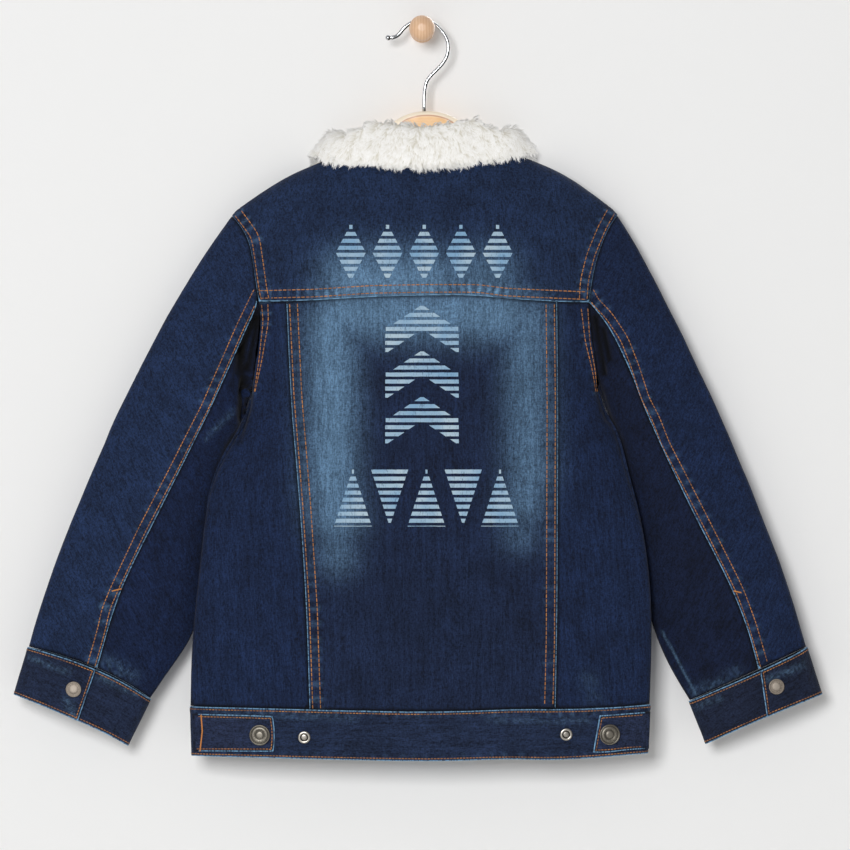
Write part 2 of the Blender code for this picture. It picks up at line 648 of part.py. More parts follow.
def build_skin():
    skin = Skin()
    heights = row_heights()
    columns = range(BACK_LAST + 1)
    yoke = [[yoke_point(share, c) for c in columns] for share in YOKE_ROWS]
    skin.sheet(yoke, lambda r, c: "back_yoke")

    back = [[back_point(h, x) for x in back_columns(h)] for h in heights[YOKE_LAST:]]
    back[0] = yoke[-1]

    def back_panel(r, c):
        if c < SIDE_COLUMNS:
            return "back_side_panel_left"
        if c < SIDE_COLUMNS + CENTRE_COLUMNS:
            return "back_center_panel"
        return "back_side_panel_right"

    skin.sheet(back, back_panel)
    skin.corners = [back[ARMPIT_ROW - YOKE_LAST][c] for c in (0, -1)]
    skin.corners += [yoke[0][c] for c in (0, -1) + NECK_COLUMNS]
    skin.corners += [front_top(side, NECK_COLUMNS[0] + k) for side in (-1, 1) for k in (1, 2)]

    def body_edge(row, side):
        c = 0 if side < 0 else -1
        return yoke[row][c] if row <= YOKE_LAST else back[row - YOKE_LAST][c]

    for side, name, lines in ((-1, "left", LEFT_SLEEVE), (1, "right", RIGHT_SLEEVE)):
        front = [[front_point(r, side, k) for k in range(FRONT_COLUMNS + 1)]
                 for r in range(len(heights))]
        for r in range(len(heights)):
            if r == 0 or r >= ARMPIT_ROW:
                front[r][0] = body_edge(r, side)
        skin.sheet(front, lambda r, c: "front_" + name, flip=side < 0)

        armhole = [body_edge(r, side) for r in range(ARMPIT_ROW + 1)]
        armhole += [front[r][0] for r in range(ARMPIT_ROW - 1, 0, -1)]
        rings = [[sleeve_point(lines, s, t) for t in sleeve_turns(s)] for s in SLEEVE_RINGS]
        first = rings[0]
        for s, ring in zip(SLEEVE_RINGS, rings):
            share = 1 - ease(s / ARMHOLE_BLEND)
            for i in range(len(ring)):
                ring[i] = ring[i] + (armhole[i] - first[i]) * share
        rings[0] = armhole
        rings = [ring + [ring[0]] for ring in rings]

        def sleeve_panel(r, c):
            return ("sleeve_under_" if YOKE_LAST <= c < ARMPIT_ROW else "sleeve_upper_") + name

        skin.sheet(rings, sleeve_panel, flip=side > 0)
    return skin


# -------------------------------------------------------------- solids of cloth
def wall_between(outer, inner, faces, name):
    """Closed solid between two matching layers of points."""
    directed = {(loop[i], loop[(i + 1) % len(loop)]) for loop in faces for i in range(len(loop))}
    used = sorted({i for loop in faces for i in loop})
    place = {v: k for k, v in enumerate(used)}
    count = len(used)
    points = [outer[i] for i in used] + [inner[i] for i in used]
    shell = [[place[i] for i in loop] for loop in faces]
    shell += [[place[i] + count for i in reversed(loop)] for loop in faces]
    for a, b in sorted(directed):
        if (b, a) not in directed:
            shell.append([place[b], place[a], place[a] + count, place[b] + count])
    return mesh_object(name, points, shell)


def panel_solid(skin, directions, panel):
    """One panel cut from the skin, drawn back by half a gap at its seams."""
    normals = directions["sleeve" if panel.startswith("sleeve") else "body"]
    faces = [loop for loop, owner in skin.faces if owner == panel]
    directed = {(loop[i], loop[(i + 1) % len(loop)]) for loop in faces for i in range(len(loop))}
    inward = {}
    for a, b in directed:
        if (b, a) not in directed:
            edge = unit(skin.points[b] - skin.points[a])
            for v in (a, b):
                inward.setdefault(v, []).append(unit(np.cross(normals[v], edge)))
    outer, inner = {}, {}
    for v in {i for loop in faces for i in loop}:
        p = skin.points[v].copy()
        if v in inward:
            total = sum(inward[v])
            share = max(1 + inward[v][0] @ inward[v][-1], 0.35)
            p += total / share * GAP / 2 * (1 + skin.armpit_share(v))
        outer[v] = p
        inner[v] = p - normals[v] * skin.wall(v)
    return wall_between(outer, inner, faces, panel)


def strip_solid(name, points, normals, lift, wall):
    """Closed strip over a grid of points, lifted along their normals."""
    rows, columns = len(points), len(points[0])
    outer, inner = {}, {}
    for r in range(rows):
        for c in range(columns):
            inner[r * columns + c] = points[r][c] + normals[r][c] * lift[r][c]
            outer[r * columns + c] = points[r][c] + normals[r][c] * (lift[r][c] + wall)
    faces = [[r * columns + c, (r + 1) * columns + c, (r + 1) * columns + c + 1, r * columns + c + 1]
             for r in range(rows - 1) for c in range(columns - 1)]
    return wall_between(outer, inner, faces, name)


def ring_normals(rows):
    """Outward directions of a band's grid of points."""
    grid = np.array(rows)
    n = np.cross(np.gradient(grid, axis=0), np.gradient(grid, axis=1))
    n /= np.linalg.norm(n, axis=2)[:, :, None]
    outward = grid - grid.mean(axis=1)[:, None, :]
    return n if np.sum(n * outward) > 0 else -n


# ------------------------------------------------------------ objects and looks
FINISHES = {   # colour, roughness, metallic
    "denim": ((0.016, 0.027, 0.058), 0.88, 0.0),
    "denim_band": ((0.022, 0.031, 0.060), 0.88, 0.0),
    "sherpa": ((0.80, 0.79, 0.75), 0.95, 0.0),
    "metal": ((0.24, 0.22, 0.20), 0.42, 1.0),
    "chrome": ((0.62, 0.62, 0.63), 0.12, 1.0),
    "hanger_wood": ((0.83, 0.62, 0.38), 0.45, 0.0),
    "peg_wood": ((0.68, 0.47, 0.33), 0.50, 0.0),
}


def mesh_object(name, points, faces):
    mesh = bpy.data.meshes.new(name)
    mesh.from_pydata([tuple(np.array(p) * MM) for p in points], [], faces)
    bm = bmesh.new()
    bm.from_mesh(mesh)
    bmesh.ops.recalc_face_normals(bm, faces=bm.faces)
    bmesh.ops.triangulate(bm, faces=bm.faces, quad_method="SHORT_EDGE")
    bm.to_mesh(mesh)
    bm.free()
    mesh.shade_smooth()
    mesh.set_sharp_from_angle(angle=math.radians(45))
    thing = bpy.data.objects.new(name, mesh)
    bpy.context.scene.collection.objects.link(thing)
    return thing


def set_finish(thing, finish):
    colour, rough, metallic = FINISHES[finish]
    material = bpy.data.materials.new(thing.name)
    material.use_nodes = True
    shader = material.node_tree.nodes["Principled BSDF"]
    shader.inputs["Base Color"].default_value = (*colour, 1.0)
    shader.inputs["Roughness"].default_value = rough
    shader.inputs["Metallic"].default_value = metallic
    thing.data.materials.append(material)


def stacked_rings(name, rings):
    """Closed solid through rings of points that all have the same count."""
    count = len(rings[0])
    points = [p for ring in rings for p in ring]
    faces = [list(range(count)), [(len(rings) - 1) * count + k for k in range(count)]]
    for r in range(len(rings) - 1):
        for k in range(count):
            a, b = r * count + k, r * count + (k + 1) % count
            faces.append([a, b, b + count, a + count])
    return mesh_object(name, points, faces)


def lathe(name, profile, seat, axis, sides):
    """Turned solid: profile rows are (distance along the axis, radius)."""
    axis = unit(axis)
    helper = np.array([0, 0, 1.0]) if abs(axis[2]) < 0.9 else np.array([1.0, 0, 0])
    u = unit(np.cross(helper, axis))
    v = np.cross(axis, u)
    turns = [2 * math.pi * k / sides for k in range(sides)]
    return stacked_rings(name, [[np.asarray(seat) + axis * along
                                 + (u * math.cos(a) + v * math.sin(a)) * radius for a in turns]
                                for along, radius in profile])


def tube(name, line, radii, sides):
    """Solid along a line of points, with its own radius at each."""
    rings = []
    u = unit(np.cross(line[1] - line[0], [0, 1.0, 0]))
    for i, p in enumerate(line):
        ahead = unit(line[min(i + 1, len(line) - 1)] - line[max(i - 1, 0)])
        u = unit(u - ahead * (u @ ahead))
        v = np.cross(ahead, u)
        turns = [2 * math.pi * k / sides for k in range(sides)]
        rings.append([p + (u * math.cos(a) + v * math.sin(a)) * radii[i] for a in turns])
    return stacked_rings(name, rings)


# ------------------------------------------------------------------- the pieces
def make_panels(skin, directions):
    for name in sorted({owner for _, owner in skin.faces}):
        set_finish(panel_solid(skin, directions, name), "denim")


class Band:
    """Grid of the outer face of a band, read at any row and column."""

    def __init__(self, rows, lift):
        self.points = np.array(rows)
        self.normals = ring_normals(rows)
        self.lift = np.array(lift)

    def at(self, row, column):
        """Face point and outward direction at a place between the grid's points."""
        r = min(int(row), self.points.shape[0] - 2)
        c = min(int(column), self.points.shape[1] - 2)
        v, u = row - r, column - c
        shares = ((r, c, (1 - v) * (1 - u)), (r, c + 1, (1 - v) * u),
                  (r + 1, c, v * (1 - u)), (r + 1, c + 1, v * u))
        face = self.points + self.normals * (self.lift + BAND_WALL)[None, :, None]
        return (sum(face[i, j] * w for i, j, w in shares),
                unit(sum(self.normals[i, j] * w for i, j, w in shares)))

    def solid(self, name):
        lift = [self.lift] * len(self.points)
        set_finish(strip_solid(name, self.points, self.normals, lift, BAND_WALL), "denim_band")


def lap_lift(places, lap, rise):
    """How far a band's wall lifts at each place: its last stretch rises over its start."""
    start = places[-1] - rise[0] * lap
    return [ease((p - start) / (rise[1] * lap)) * (BAND_WALL + GAP) - BAND_SINK for p in places]


def make_waistband():
    """A strip round the hem that laps over itself at the middle of the front."""
    start, end = 1.5 - WAIST_LAP, 3.5 + WAIST_LAP
    places = [start + (end - start) * k / WAIST_STEPS for k in range(WAIST_STEPS + 1)]
    rows = []
    for drop in WAIST_ROWS:
        height = HEM_HEIGHT - drop
        left, right, _ = body_edges(height, -1)
        row = []
        for place in places:
            x = left + (right - left) * ring_share(place)
            row.append(np.array([x, sheet_depth(height, x, ring_side(place)),
                                 height + line_lift(x, HEM_HEIGHT)]))
        rows.append(row)
    lap = lap_lift(places, WAIST_LAP, WAIST_LAP_RISE)
    band = Band(rows, lap)
    band.solid("waistband")
    return band


def make_cuff(name, lines):
    """A strip round the wrist whose end laps over at the back seam."""
    start, end = 0.5 - CUFF_LAP, 2.5
    places = [start + (end - start) * k / CUFF_STEPS for k in range(CUFF_STEPS + 1)]
    rows = [[cuff_point(lines, r / 3, p) for p in places] for r in range(4)]
    rows[0] = [p + unit(below - p) * CUFF_DROP for p, below in zip(rows[0], rows[1])]
    lap = lap_lift(places, CUFF_LAP, CUFF_LAP_RISE)
    band = Band(rows, lap)
    band.solid("cuff_" + name)
    return band


def place_on(band, x, z):
    """Row and column of the band's back where it shows at x, z."""
    face = band.points + band.normals * (band.lift + BAND_WALL)[None, :, None]
    reach = np.hypot(face[:, :, 0] - x, face[:, :, 2] - z) + 1000.0 * (band.normals[:, :, 1] > 0)
    reach[:, band.points.shape[1] - 1] += 0.1
    r0, c0 = np.unravel_index(np.argmin(reach), reach.shape)
    rows = np.clip(np.linspace(r0 - 1, r0 + 1, 41), 0, band.points.shape[0] - 1)
    columns = np.clip(np.linspace(c0 - 1, c0 + 1, 41), 0, band.points.shape[1] - 1)
    best = min((np.hypot(p[0] - x, p[2] - z), r, c) for r in rows for c in columns
               for p in [band.at(r, c)[0]])
    return best[1], best[2]


def make_tab(name, spec, band):
    """Adjuster tab: lies on the band, square at the side seam and blunt at its free end."""
    outer_column = place_on(band, spec["outer"], spec["height"])[1]
    tip_column = place_on(band, spec["tip"], spec["height"])[1]
    low, high = sorted((outer_column, tip_column))
    columns = [low, *range(math.ceil(low + 0.4), math.floor(high - 0.4) + 1), high]
    points, normals = [], []
    for v in TAB_ACROSS:
        line, directions = [], []
        for c in columns:
            u = (c - outer_column) / (tip_column - outer_column)
            blunt = ease((u - 1 + TAB_BLUNT) / TAB_BLUNT)
            shift = ((abs(v - 0.5) * 2) ** 2 * spec["point"] - (v - 0.5) * spec["slant"]) * blunt
            row = TAB_TOP + (TAB_SPAN + TAB_TAPER * (1 - u)) * v
            row += (0.5 - v) * TAB_NARROWING * blunt
            p, n = band.at(row, c - shift * (tip_column - outer_column))
            line.append(p)
            directions.append(n)
        points.append(line)
        normals.append(directions)
    lift = [[TAB_SEAT] * len(columns)] * len(TAB_ACROSS)
    set_finish(strip_solid("waist_tab_" + name, points, normals, lift, TAB_WALL), "denim_band")


def fastener(name, seat, axis, radius, profile, sides):
    rows = [(along, share * radius) for along, share in profile]
    set_finish(lathe(name, rows, seat, axis, sides), "metal")


def on_band(band, x, z, lift):
    point, normal = band.at(*place_on(band, x, z))
    return point + normal * lift, normal


def make_fasteners(waistband, cuffs):
    for name, (x, z) in TAB_BUTTONS.items():
        seat, axis = on_band(waistband, x, z, TAB_SEAT + TAB_WALL + BUTTON_SEAT)
        fastener("tab_button_" + name, seat, axis, BUTTON_RADIUS, BUTTON_PROFILE, 18)
    for name, (x, z) in WAIST_STUDS.items():
        seat, axis = on_band(waistband, x, z, BUTTON_SEAT)
        fastener("waist_stud_" + name, seat, axis, STUD_RADIUS, STUD_PROFILE, 14)
    for name, (x, z) in CUFF_SNAPS.items():
        seat, axis = on_band(cuffs[name], x, z, BUTTON_SEAT)
        fastener("cuff_snap_" + name, seat, axis, SNAP_RADIUS, SNAP_PROFILE, 16)


def make_placket(waistband):
    """Strip that buttons down the fronts, on their wall side, with its buttons."""
    top, bottom = PLACKET_TOP, HEM_HEIGHT - PLACKET_END
    half = PLACKET_WIDTH / 2
    heights = [top + (bottom - top) * k / PLACKET_ROWS for k in range(PLACKET_ROWS + 1)]
    points = [[np.array([x, FRONT_Y, z]) for x in (-half, half)] for z in heights]
    wallward = np.array([0, 1.0, 0])
    seat = GAP + 0.1
    set_finish(strip_solid("front_placket", points, [[wallward] * 2] * len(points),
                           [[seat] * 2] * len(points), PLACKET_WALL), "denim_band")
    face = FRONT_Y + seat + PLACKET_WALL + BUTTON_SEAT
    pitch = (top - bottom - FIRST_BUTTON_DROP - LAST_BUTTON_RISE) / (PLACKET_BUTTONS - 1)
    seats = [np.array([0, face, top - FIRST_BUTTON_DROP - pitch * k]) for k in range(PLACKET_BUTTONS)]
    # the last one sits on the band's lap
    face = waistband.points[:, :, 1].max() + BAND_WALL - BAND_SINK + BAND_WALL + GAP
    seats.append(np.array([0, face + BUTTON_SEAT, HEM_HEIGHT - BAND_HEIGHT / 2 - 0.5]))
    for k, seat in enumerate(seats):
        fastener("front_button_%d" % (k + 1), seat, wallward, BUTTON_RADIUS, BUTTON_PROFILE, 12)


def collar_line(side):
    """Neckline points from the middle of the back to the middle of the front."""
    middle = sum(NECK_COLUMNS) // 2
    last = NECK_COLUMNS[0 if side < 0 else 1]
    step = -1 if side < 0 else 1
    points = [np.array(YOKE_TOP[c]) for c in range(middle, last + step, step)]
    return points + [front_top(side, NECK_COLUMNS[0] + k) for k in range(1, len(FRONT_NECK))]


def settle(tree, point, clear):
    """Move a point off the cloth until it is clear of it."""
    near, normal, _, _ = tree.find_nearest(Vector(point))
    near, normal = np.array(near), np.array(normal)
    return near + normal * clear if (point - near) @ normal < clear else point


def collar_ring(tree, seam, ahead, row, side):
    """Section of the collar at one place of the neckline."""
    px, py, pz, ox, oy, oz, fold, thick, reach, tip, inside, clear = row
    along = unit([px * side, py, pz])
    out = np.cross(along, ahead)
    out = unit(out if out @ np.array([ox * side, oy, oz]) > 0 else -out)
    free = [
        (-0.8, -inside), (-0.45 * fold - 0.8, -inside - 0.6), (-0.85 * fold, -0.3 * inside),
        (-fold, 0.38 * thick), (-0.82 * fold, 0.82 * thick), (-0.42 * fold, thick),
        (0.1 * reach, thick), (0.68 * reach, 0.45 * thick + 0.5 * tip), (reach, 0.55 * tip),
    ]
    resting = [(0.9 * reach, clear + 0.6), (0.45 * reach, clear), (-0.8, clear)]
    return ([seam + along * p + out * n for p, n in free]
            + [settle(tree, seam + along * p + out * n, clear) for p, n in resting])


def make_collar(tree):
    """Turn-down collar: stand and fall as one thick leaf that runs round the neck."""
    rings = []
    for side in (-1, 1):
        line = collar_line(side)
        line[-1] = line[-1] + (line[-2] - line[-1]) * COLLAR_PARTING / abs(line[-2][0])
        ahead = np.gradient(np.array(line), axis=0)
        ahead[0] = np.array([side, 0, 0])
        half = []
        for step in range((len(line) - 1) * COLLAR_STEPS + 1):
            at = step / COLLAR_STEPS
            i = min(int(at), len(line) - 2)
            f = at - i
            half.append(collar_ring(tree, line[i] * (1 - f) + line[i + 1] * f,
                                    unit(ahead[i] * (1 - f) + ahead[i + 1] * f),
                                    curve_through(COLLAR, at), side))
        rings = half[::-1] if side < 0 else rings + half[1:]
    set_finish(stacked_rings("sherpa_collar", rings), "sherpa")


def lower_ring(tree, ring):
    """Bring a section of the hanger down until the shoulders' wall lies over it."""
    for _ in range(6):
        rise = -1.0
        for p in ring[1:6]:
            near, normal, _, _ = tree.find_nearest(Vector(p))
            rise = max(rise, (p - np.array(near)) @ np.array(normal) + DENIM_WALL + HANGER_SEAT)
        if rise > 0:
            for p in ring:
                p[2] -= rise


def make_hanger(tree):
    """Board under the shoulders with a round crown, and the wire hook."""
    shoulders = [(x, z) for x, _, z in YOKE_TOP[2:NECK_COLUMNS[0] + 1] + YOKE_TOP[NECK_COLUMNS[1]:-2]
                 if abs(x) < HANGER_END - HANGER_ARM_DEPTH / 2]
    top_line = sorted([(x, z - DENIM_WALL) for x, z in shoulders] + HANGER_INSIDE
                      + [(-HANGER_END, shoulders[0][1] - HANGER_DIP),
                         (HANGER_END, shoulders[-1][1] - HANGER_DIP)])
    cx, apex = CROWN_TOP
    crown = [(cx - CROWN_RADIUS * math.cos(a), apex - CROWN_RADIUS * (1 - math.sin(a)))
             for a in np.radians(np.linspace(*CROWN_SPAN, 13))]
    outline = [(x, z) for x, z in top_line if abs(x - cx) > CROWN_RADIUS] + crown
    rings = []
    for x, top in sorted(outline):
        end = HANGER_END - abs(x)
        arm_top = curve_through(top_line, x)[0]
        depth = HANGER_ARM_DEPTH * (0.5 + 0.5 * ease(end / HANGER_TIP)) + top - arm_top
        thick = HANGER_THICK / 2 * (0.6 + 0.4 * ease(end / HANGER_THINNING))
        round_end = min(thick, depth / 2)
        ring = []
        for k in range(12):
            a = 2 * math.pi * k / 12
            straight = depth / 2 - round_end
            level = straight * (0 if k % 6 == 0 else math.copysign(1, math.sin(a)))
            ring.append(np.array([x, HANGER_Y + thick * math.cos(a),
                                  top - depth / 2 + level + round_end * math.sin(a)]))
        if abs(x) > abs(HANGER_INSIDE[0][0]) + 8:
            lower_ring(tree, ring)
        rings.append(ring)
    set_finish(stacked_rings("hanger_body", rings), "hanger_wood")

    line = [by_length(HOOK_LINE, s) for s in np.linspace(0, 1, 37)]
    wire = [np.array([x, HANGER_Y, z]) for x, z in line]
    wire[-1][2] = apex + GAP
    radii = WIRE_TIP_RADII + [WIRE_RADIUS] * (len(wire) - 2)
    set_finish(tube("hanger_hook", wire, radii, 8), "chrome")


def make_peg():
    start = math.pi - math.asin(PEG_NECK_RADIUS / PEG_BALL_RADIUS)
    ball = [(-PEG_BALL_Y + PEG_BALL_RADIUS * math.cos(start * (1 - k / 8)),
             PEG_BALL_RADIUS * math.sin(start * (1 - k / 8))) for k in range(8)]
    set_finish(lathe("wall_peg", PEG_PROFILE + ball, (0, 0, 0), (0, -1, 0), 20), "peg_wood")


def main():
    for old in list(bpy.data.objects):
        bpy.data.objects.remove(old)
    skin = build_skin()
    directions = skin.directions()
    tree = BVHTree.FromPolygons([Vector(p) for p in skin.points], [loop for loop, _ in skin.faces])
    make_panels(skin, directions)
    waistband = make_waistband()
    cuffs = {"left": make_cuff("left", LEFT_CUFF), "right": make_cuff("right", RIGHT_CUFF)}
    for name, spec in TABS.items():
        make_tab(name, spec, waistband)
    make_fasteners(waistband, cuffs)
    make_placket(waistband)
    make_collar(tree)
    make_hanger(tree)
    make_peg()


main()
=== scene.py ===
import math

import bmesh
import bpy
import numpy as np
from mathutils import Matrix, Vector, noise
from mathutils.bvhtree import BVHTree
from mathutils.kdtree import KDTree


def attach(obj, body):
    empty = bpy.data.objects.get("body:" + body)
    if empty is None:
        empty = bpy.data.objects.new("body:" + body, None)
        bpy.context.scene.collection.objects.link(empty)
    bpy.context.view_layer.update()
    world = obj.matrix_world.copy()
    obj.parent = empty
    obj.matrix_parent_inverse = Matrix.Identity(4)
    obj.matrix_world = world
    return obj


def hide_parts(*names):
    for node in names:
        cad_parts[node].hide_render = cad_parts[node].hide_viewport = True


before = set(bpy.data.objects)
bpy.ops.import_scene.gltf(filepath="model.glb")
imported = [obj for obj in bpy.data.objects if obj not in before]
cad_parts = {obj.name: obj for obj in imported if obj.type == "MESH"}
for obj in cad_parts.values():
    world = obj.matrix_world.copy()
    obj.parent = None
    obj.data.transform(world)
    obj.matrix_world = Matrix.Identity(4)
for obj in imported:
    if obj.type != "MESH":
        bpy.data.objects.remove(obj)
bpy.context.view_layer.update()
mm = 0.001
print("frame loaded,", len(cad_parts), "solids")

# level with the middle of the jacket, through a long portrait lens
camera = {"across": 2.7, "height": -358.0, "distance": 6000.0, "jacketDepth": -55.0,
          "frameWidth": 765.0}
cameraData = bpy.data.cameras.new("camera")
cameraData.lens = cameraData.sensor_width * camera["distance"] / camera["frameWidth"]
cameraObject = bpy.data.objects.new("camera", cameraData)
cameraObject.location = Vector((camera["across"], camera["jacketDepth"] - camera["distance"],
                                camera["height"])) * mm
cameraObject.rotation_euler = (math.radians(90), 0, 0)
bpy.context.scene.collection.objects.link(cameraObject)
bpy.context.scene.camera = cameraObject
bpy.context.scene.view_settings.view_transform = "Standard"


# helpers for meshes
def newMesh(name, points, faces):
    mesh = bpy.data.meshes.new(name)
    mesh.from_pydata([tuple(point) for point in points], [], faces)
    mesh.shade_smooth()
    return mesh


def show(name, mesh, material):
    piece = bpy.data.objects.new(name, mesh)
    bpy.context.scene.collection.objects.link(piece)
    mesh.materials.clear()
    mesh.materials.append(material)
    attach(piece, "root")
    return piece


def readPoints(mesh, what="co"):
    values = np.zeros(len(mesh.vertices) * 3, np.float32)
    mesh.vertices.foreach_get(what, values)
    return values.reshape(-1, 3).astype(float)


def movePoints(mesh, points):
    mesh.vertices.foreach_set("co", np.asarray(points, np.float32).ravel())
    mesh.update()


def paint(mesh, name, values):
    layer = mesh.attributes.new(name, "FLOAT", "POINT")
    layer.data.foreach_set("value", np.asarray(values, np.float32))


def ease(t):
    t = np.clip(t, 0, 1)
    return t * t * (3 - 2 * t)


def unit(vectors):
    return vectors / np.maximum(np.linalg.norm(vectors, axis=1), 1e-12)[:, None]


# a tree of the chosen points, each under its own number
def makeTree(points, chosen):
    tree = KDTree(len(chosen))
    for i in chosen:
        tree.insert(points[i], i)
    tree.balance()
    return tree


# even noise from -1 to 1 at each point, its lumps about size across
def drift(points, size, seed=0):
    shift = Vector((seed * 7.31, seed * 3.17, seed * 5.77))
    return np.array([noise.noise(Vector(p) / size + shift) for p in points])


# a solid's own form, welded to quads and rounded, its corners kept sharp by creases
def roundedForm(node, level, sharp=50, sink=0.0, leafTop=0.0):
    bm = bmesh.new()
    bm.from_mesh(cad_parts[node].data)
    bmesh.ops.remove_doubles(bm, verts=bm.verts, dist=1e-6)
    bmesh.ops.join_triangles(bm, faces=bm.faces, angle_face_threshold=math.radians(50),
                             angle_shape_threshold=math.radians(60))
    bmesh.ops.recalc_face_normals(bm, faces=bm.faces)
    crease = bm.edges.layers.float.new("crease_edge")
    side = bm.faces.layers.int.new("side")
    for edge in bm.edges:
        if edge.calc_face_angle(0) > math.radians(sharp):
            edge[crease] = 1.0
    # the side of the wall each face is on: 0 and 1 the two large sides, 2 the rims
    islands, seen = [], set()
    for start in bm.faces:
        island, queue = [], [start]
        while queue:
            face = queue.pop()
            if face in seen:
                continue
            seen.add(face)
            island.append(face)
            queue += [other for edge in face.edges if edge[crease] < 0.5
                      for other in edge.link_faces]
        islands.append(island)
    islands.sort(key=lambda island: -sum(face.calc_area() for face in island))
    for number, island in enumerate(islands):
        for face in island:
            face[side] = min(number, 2)
    if sink:
        # moved inwards, but in the thin leaves below leafTop never past their middle
        bm.normal_update()
        solid = BVHTree.FromBMesh(bm)
        moves = []
        for vertex in bm.verts:
            thick = solid.ray_cast(vertex.co - vertex.normal * 0.3 * mm, -vertex.normal)[3]
            thin = thick is not None and vertex.co.z < leafTop * mm
            moves.append(vertex.normal * (min(sink * mm, 0.4 * thick) if thin else sink * mm))
        for vertex, move in zip(bm.verts, moves):
            vertex.co -= move
    mesh = bpy.data.meshes.new(node + "_form")
    bm.to_mesh(mesh)
    bm.free()
    holder = bpy.data.objects.new(node + "_form", mesh)
    bpy.context.scene.collection.objects.link(holder)
    modifier = holder.modifiers.new("rounded", "SUBSURF")
    modifier.levels = modifier.render_levels = level
    graph = bpy.context.evaluated_depsgraph_get()
    fine = bpy.data.meshes.new_from_object(holder.evaluated_get(graph))
    bpy.data.objects.remove(holder)
    bpy.data.meshes.remove(mesh)
    fine.shade_smooth()
    return fine


# helpers for materials
def toLinear(hexColour):
    parts = [int(hexColour[i:i + 2], 16) / 255 for i in (1, 3, 5)]
    return tuple(p / 12.92 if p <= 0.04045 else ((p + 0.055) / 1.055) ** 2.4
                 for p in parts) + (1.0,)


# a node with its settings and links: gives the output asked for
def addNode(material, kind, settings=None, links=None, out=0):
    node = material.node_tree.nodes.new("ShaderNode" + kind)
    for key, value in (settings or {}).items():
        if isinstance(key, int) or key in node.inputs:
            node.inputs[key].default_value = toLinear(value) if isinstance(value, str) else value
        else:
            setattr(node, key, value)
    for key, socket in (links or {}).items():
        material.node_tree.links.new(socket, node.inputs[key])
    return node.outputs[out] if node.outputs else node


# a principled surface on a new material: build gives its colour, its bump's height and depth
# in mm, and finish may add to the shader
def newMaterial(name, surface, build, finish=None):
    material = bpy.data.materials.new(name)
    material.use_nodes = True
    material.node_tree.nodes.clear()
    colour, height, depth = build(material)
    links = {"Base Color": colour}
    if height:
        links["Normal"] = addNode(material, "Bump", {"Distance": depth * mm}, {"Height": height})
    shader = addNode(material, "BsdfPrincipled", surface, links)
    if finish:
        shader = finish(material, shader)
    addNode(material, "OutputMaterial", links={"Surface": shader})
    return material


# the nodes used most: a painted attribute, noise, a number spread to another range, a sum of
# links and numbers, and two colours mixed, each given as a hex colour or a link
def painted(material, name):
    return addNode(material, "Attribute", {"attribute_name": name}, out="Fac")


def noisy(material, place, scale, detail, rough=0.5):
    return addNode(material, "TexNoise", {"Scale": scale, "Detail": detail, "Roughness": rough},
                   {"Vector": place}, "Fac")


def spread(material, value, low, high, first=0.0, last=1.0):
    return addNode(material, "MapRange", {"From Min": low, "From Max": high, "To Min": first,
                                          "To Max": last}, {"Value": value})


def maths(material, operation, *terms, clamp=False):
    fixed = {i: term for i, term in enumerate(terms) if isinstance(term, (int, float))}
    linked = {i: term for i, term in enumerate(terms) if i not in fixed}
    return addNode(material, "Math", {"operation": operation, "use_clamp": clamp, **fixed},
                   linked)


def mixed(material, share, first, second):
    given = {6: first, 7: second}
    fixed = {i: colour for i, colour in given.items() if isinstance(colour, str)}
    linked = {i: colour for i, colour in given.items() if i not in fixed}
    return addNode(material, "Mix", {"data_type": "RGBA", **fixed}, {0: share, **linked}, 2)


# rope-dyed cotton twill, woven, sewn and stone washed: matt navy with pale lengthwise slubs,
# and the dye rubbed off to pale blue along edges and on every ridge; painted light and shade
# lighten its crests and darken its troughs, seam undersides and hollows
denim = {
    # widths and lengths in mm; yarns are 0.5 mm wide, too fine to show, so they are drawn coarser
    "slub": (1.0, 3.0), "streak": (2.4, 38.0), "cross": (2.4, 1.1), "weft": (5.0, 1.4),
    "patch": (22.0, 22.0),
    # twill lines are 0.8 mm apart, too fine to show, so they are drawn 2 mm apart
    "twillPitch": 2.0, "twillShare": 0.3, "relief": 0.25,
    "slubShare": 0.5, "streakShare": 0.22, "crossShare": 0.28,
    # how each pattern is spread: from low, high, to low, high
    "threadTone": (0.39, 0.61, 0.36, 1.64), "patchTone": (0.3, 0.7, 0.82, 1.18),
    # shade spreads the painted shade: darkest at the edge of a seam's lower layer, by a tucked
    # edge and in the middle of a hollow
    "shade": (0.0, 3.0, 0.16, 1.0), "fadeGrain": (0.40, 0.60, 0.86, 1.14),
    "wearGrain": (0.36, 0.58, 0.15, 1.15), "wornEdge": (0.33, 1.1, 0.85, 0.0),
    "fadedSoftness": 0.5, "faded": "#5c7c9a", "worn": "#82b2da",
    "surface": {"Roughness": 0.9, "Sheen Weight": 0.05, "Specular IOR Level": 0.2},
}


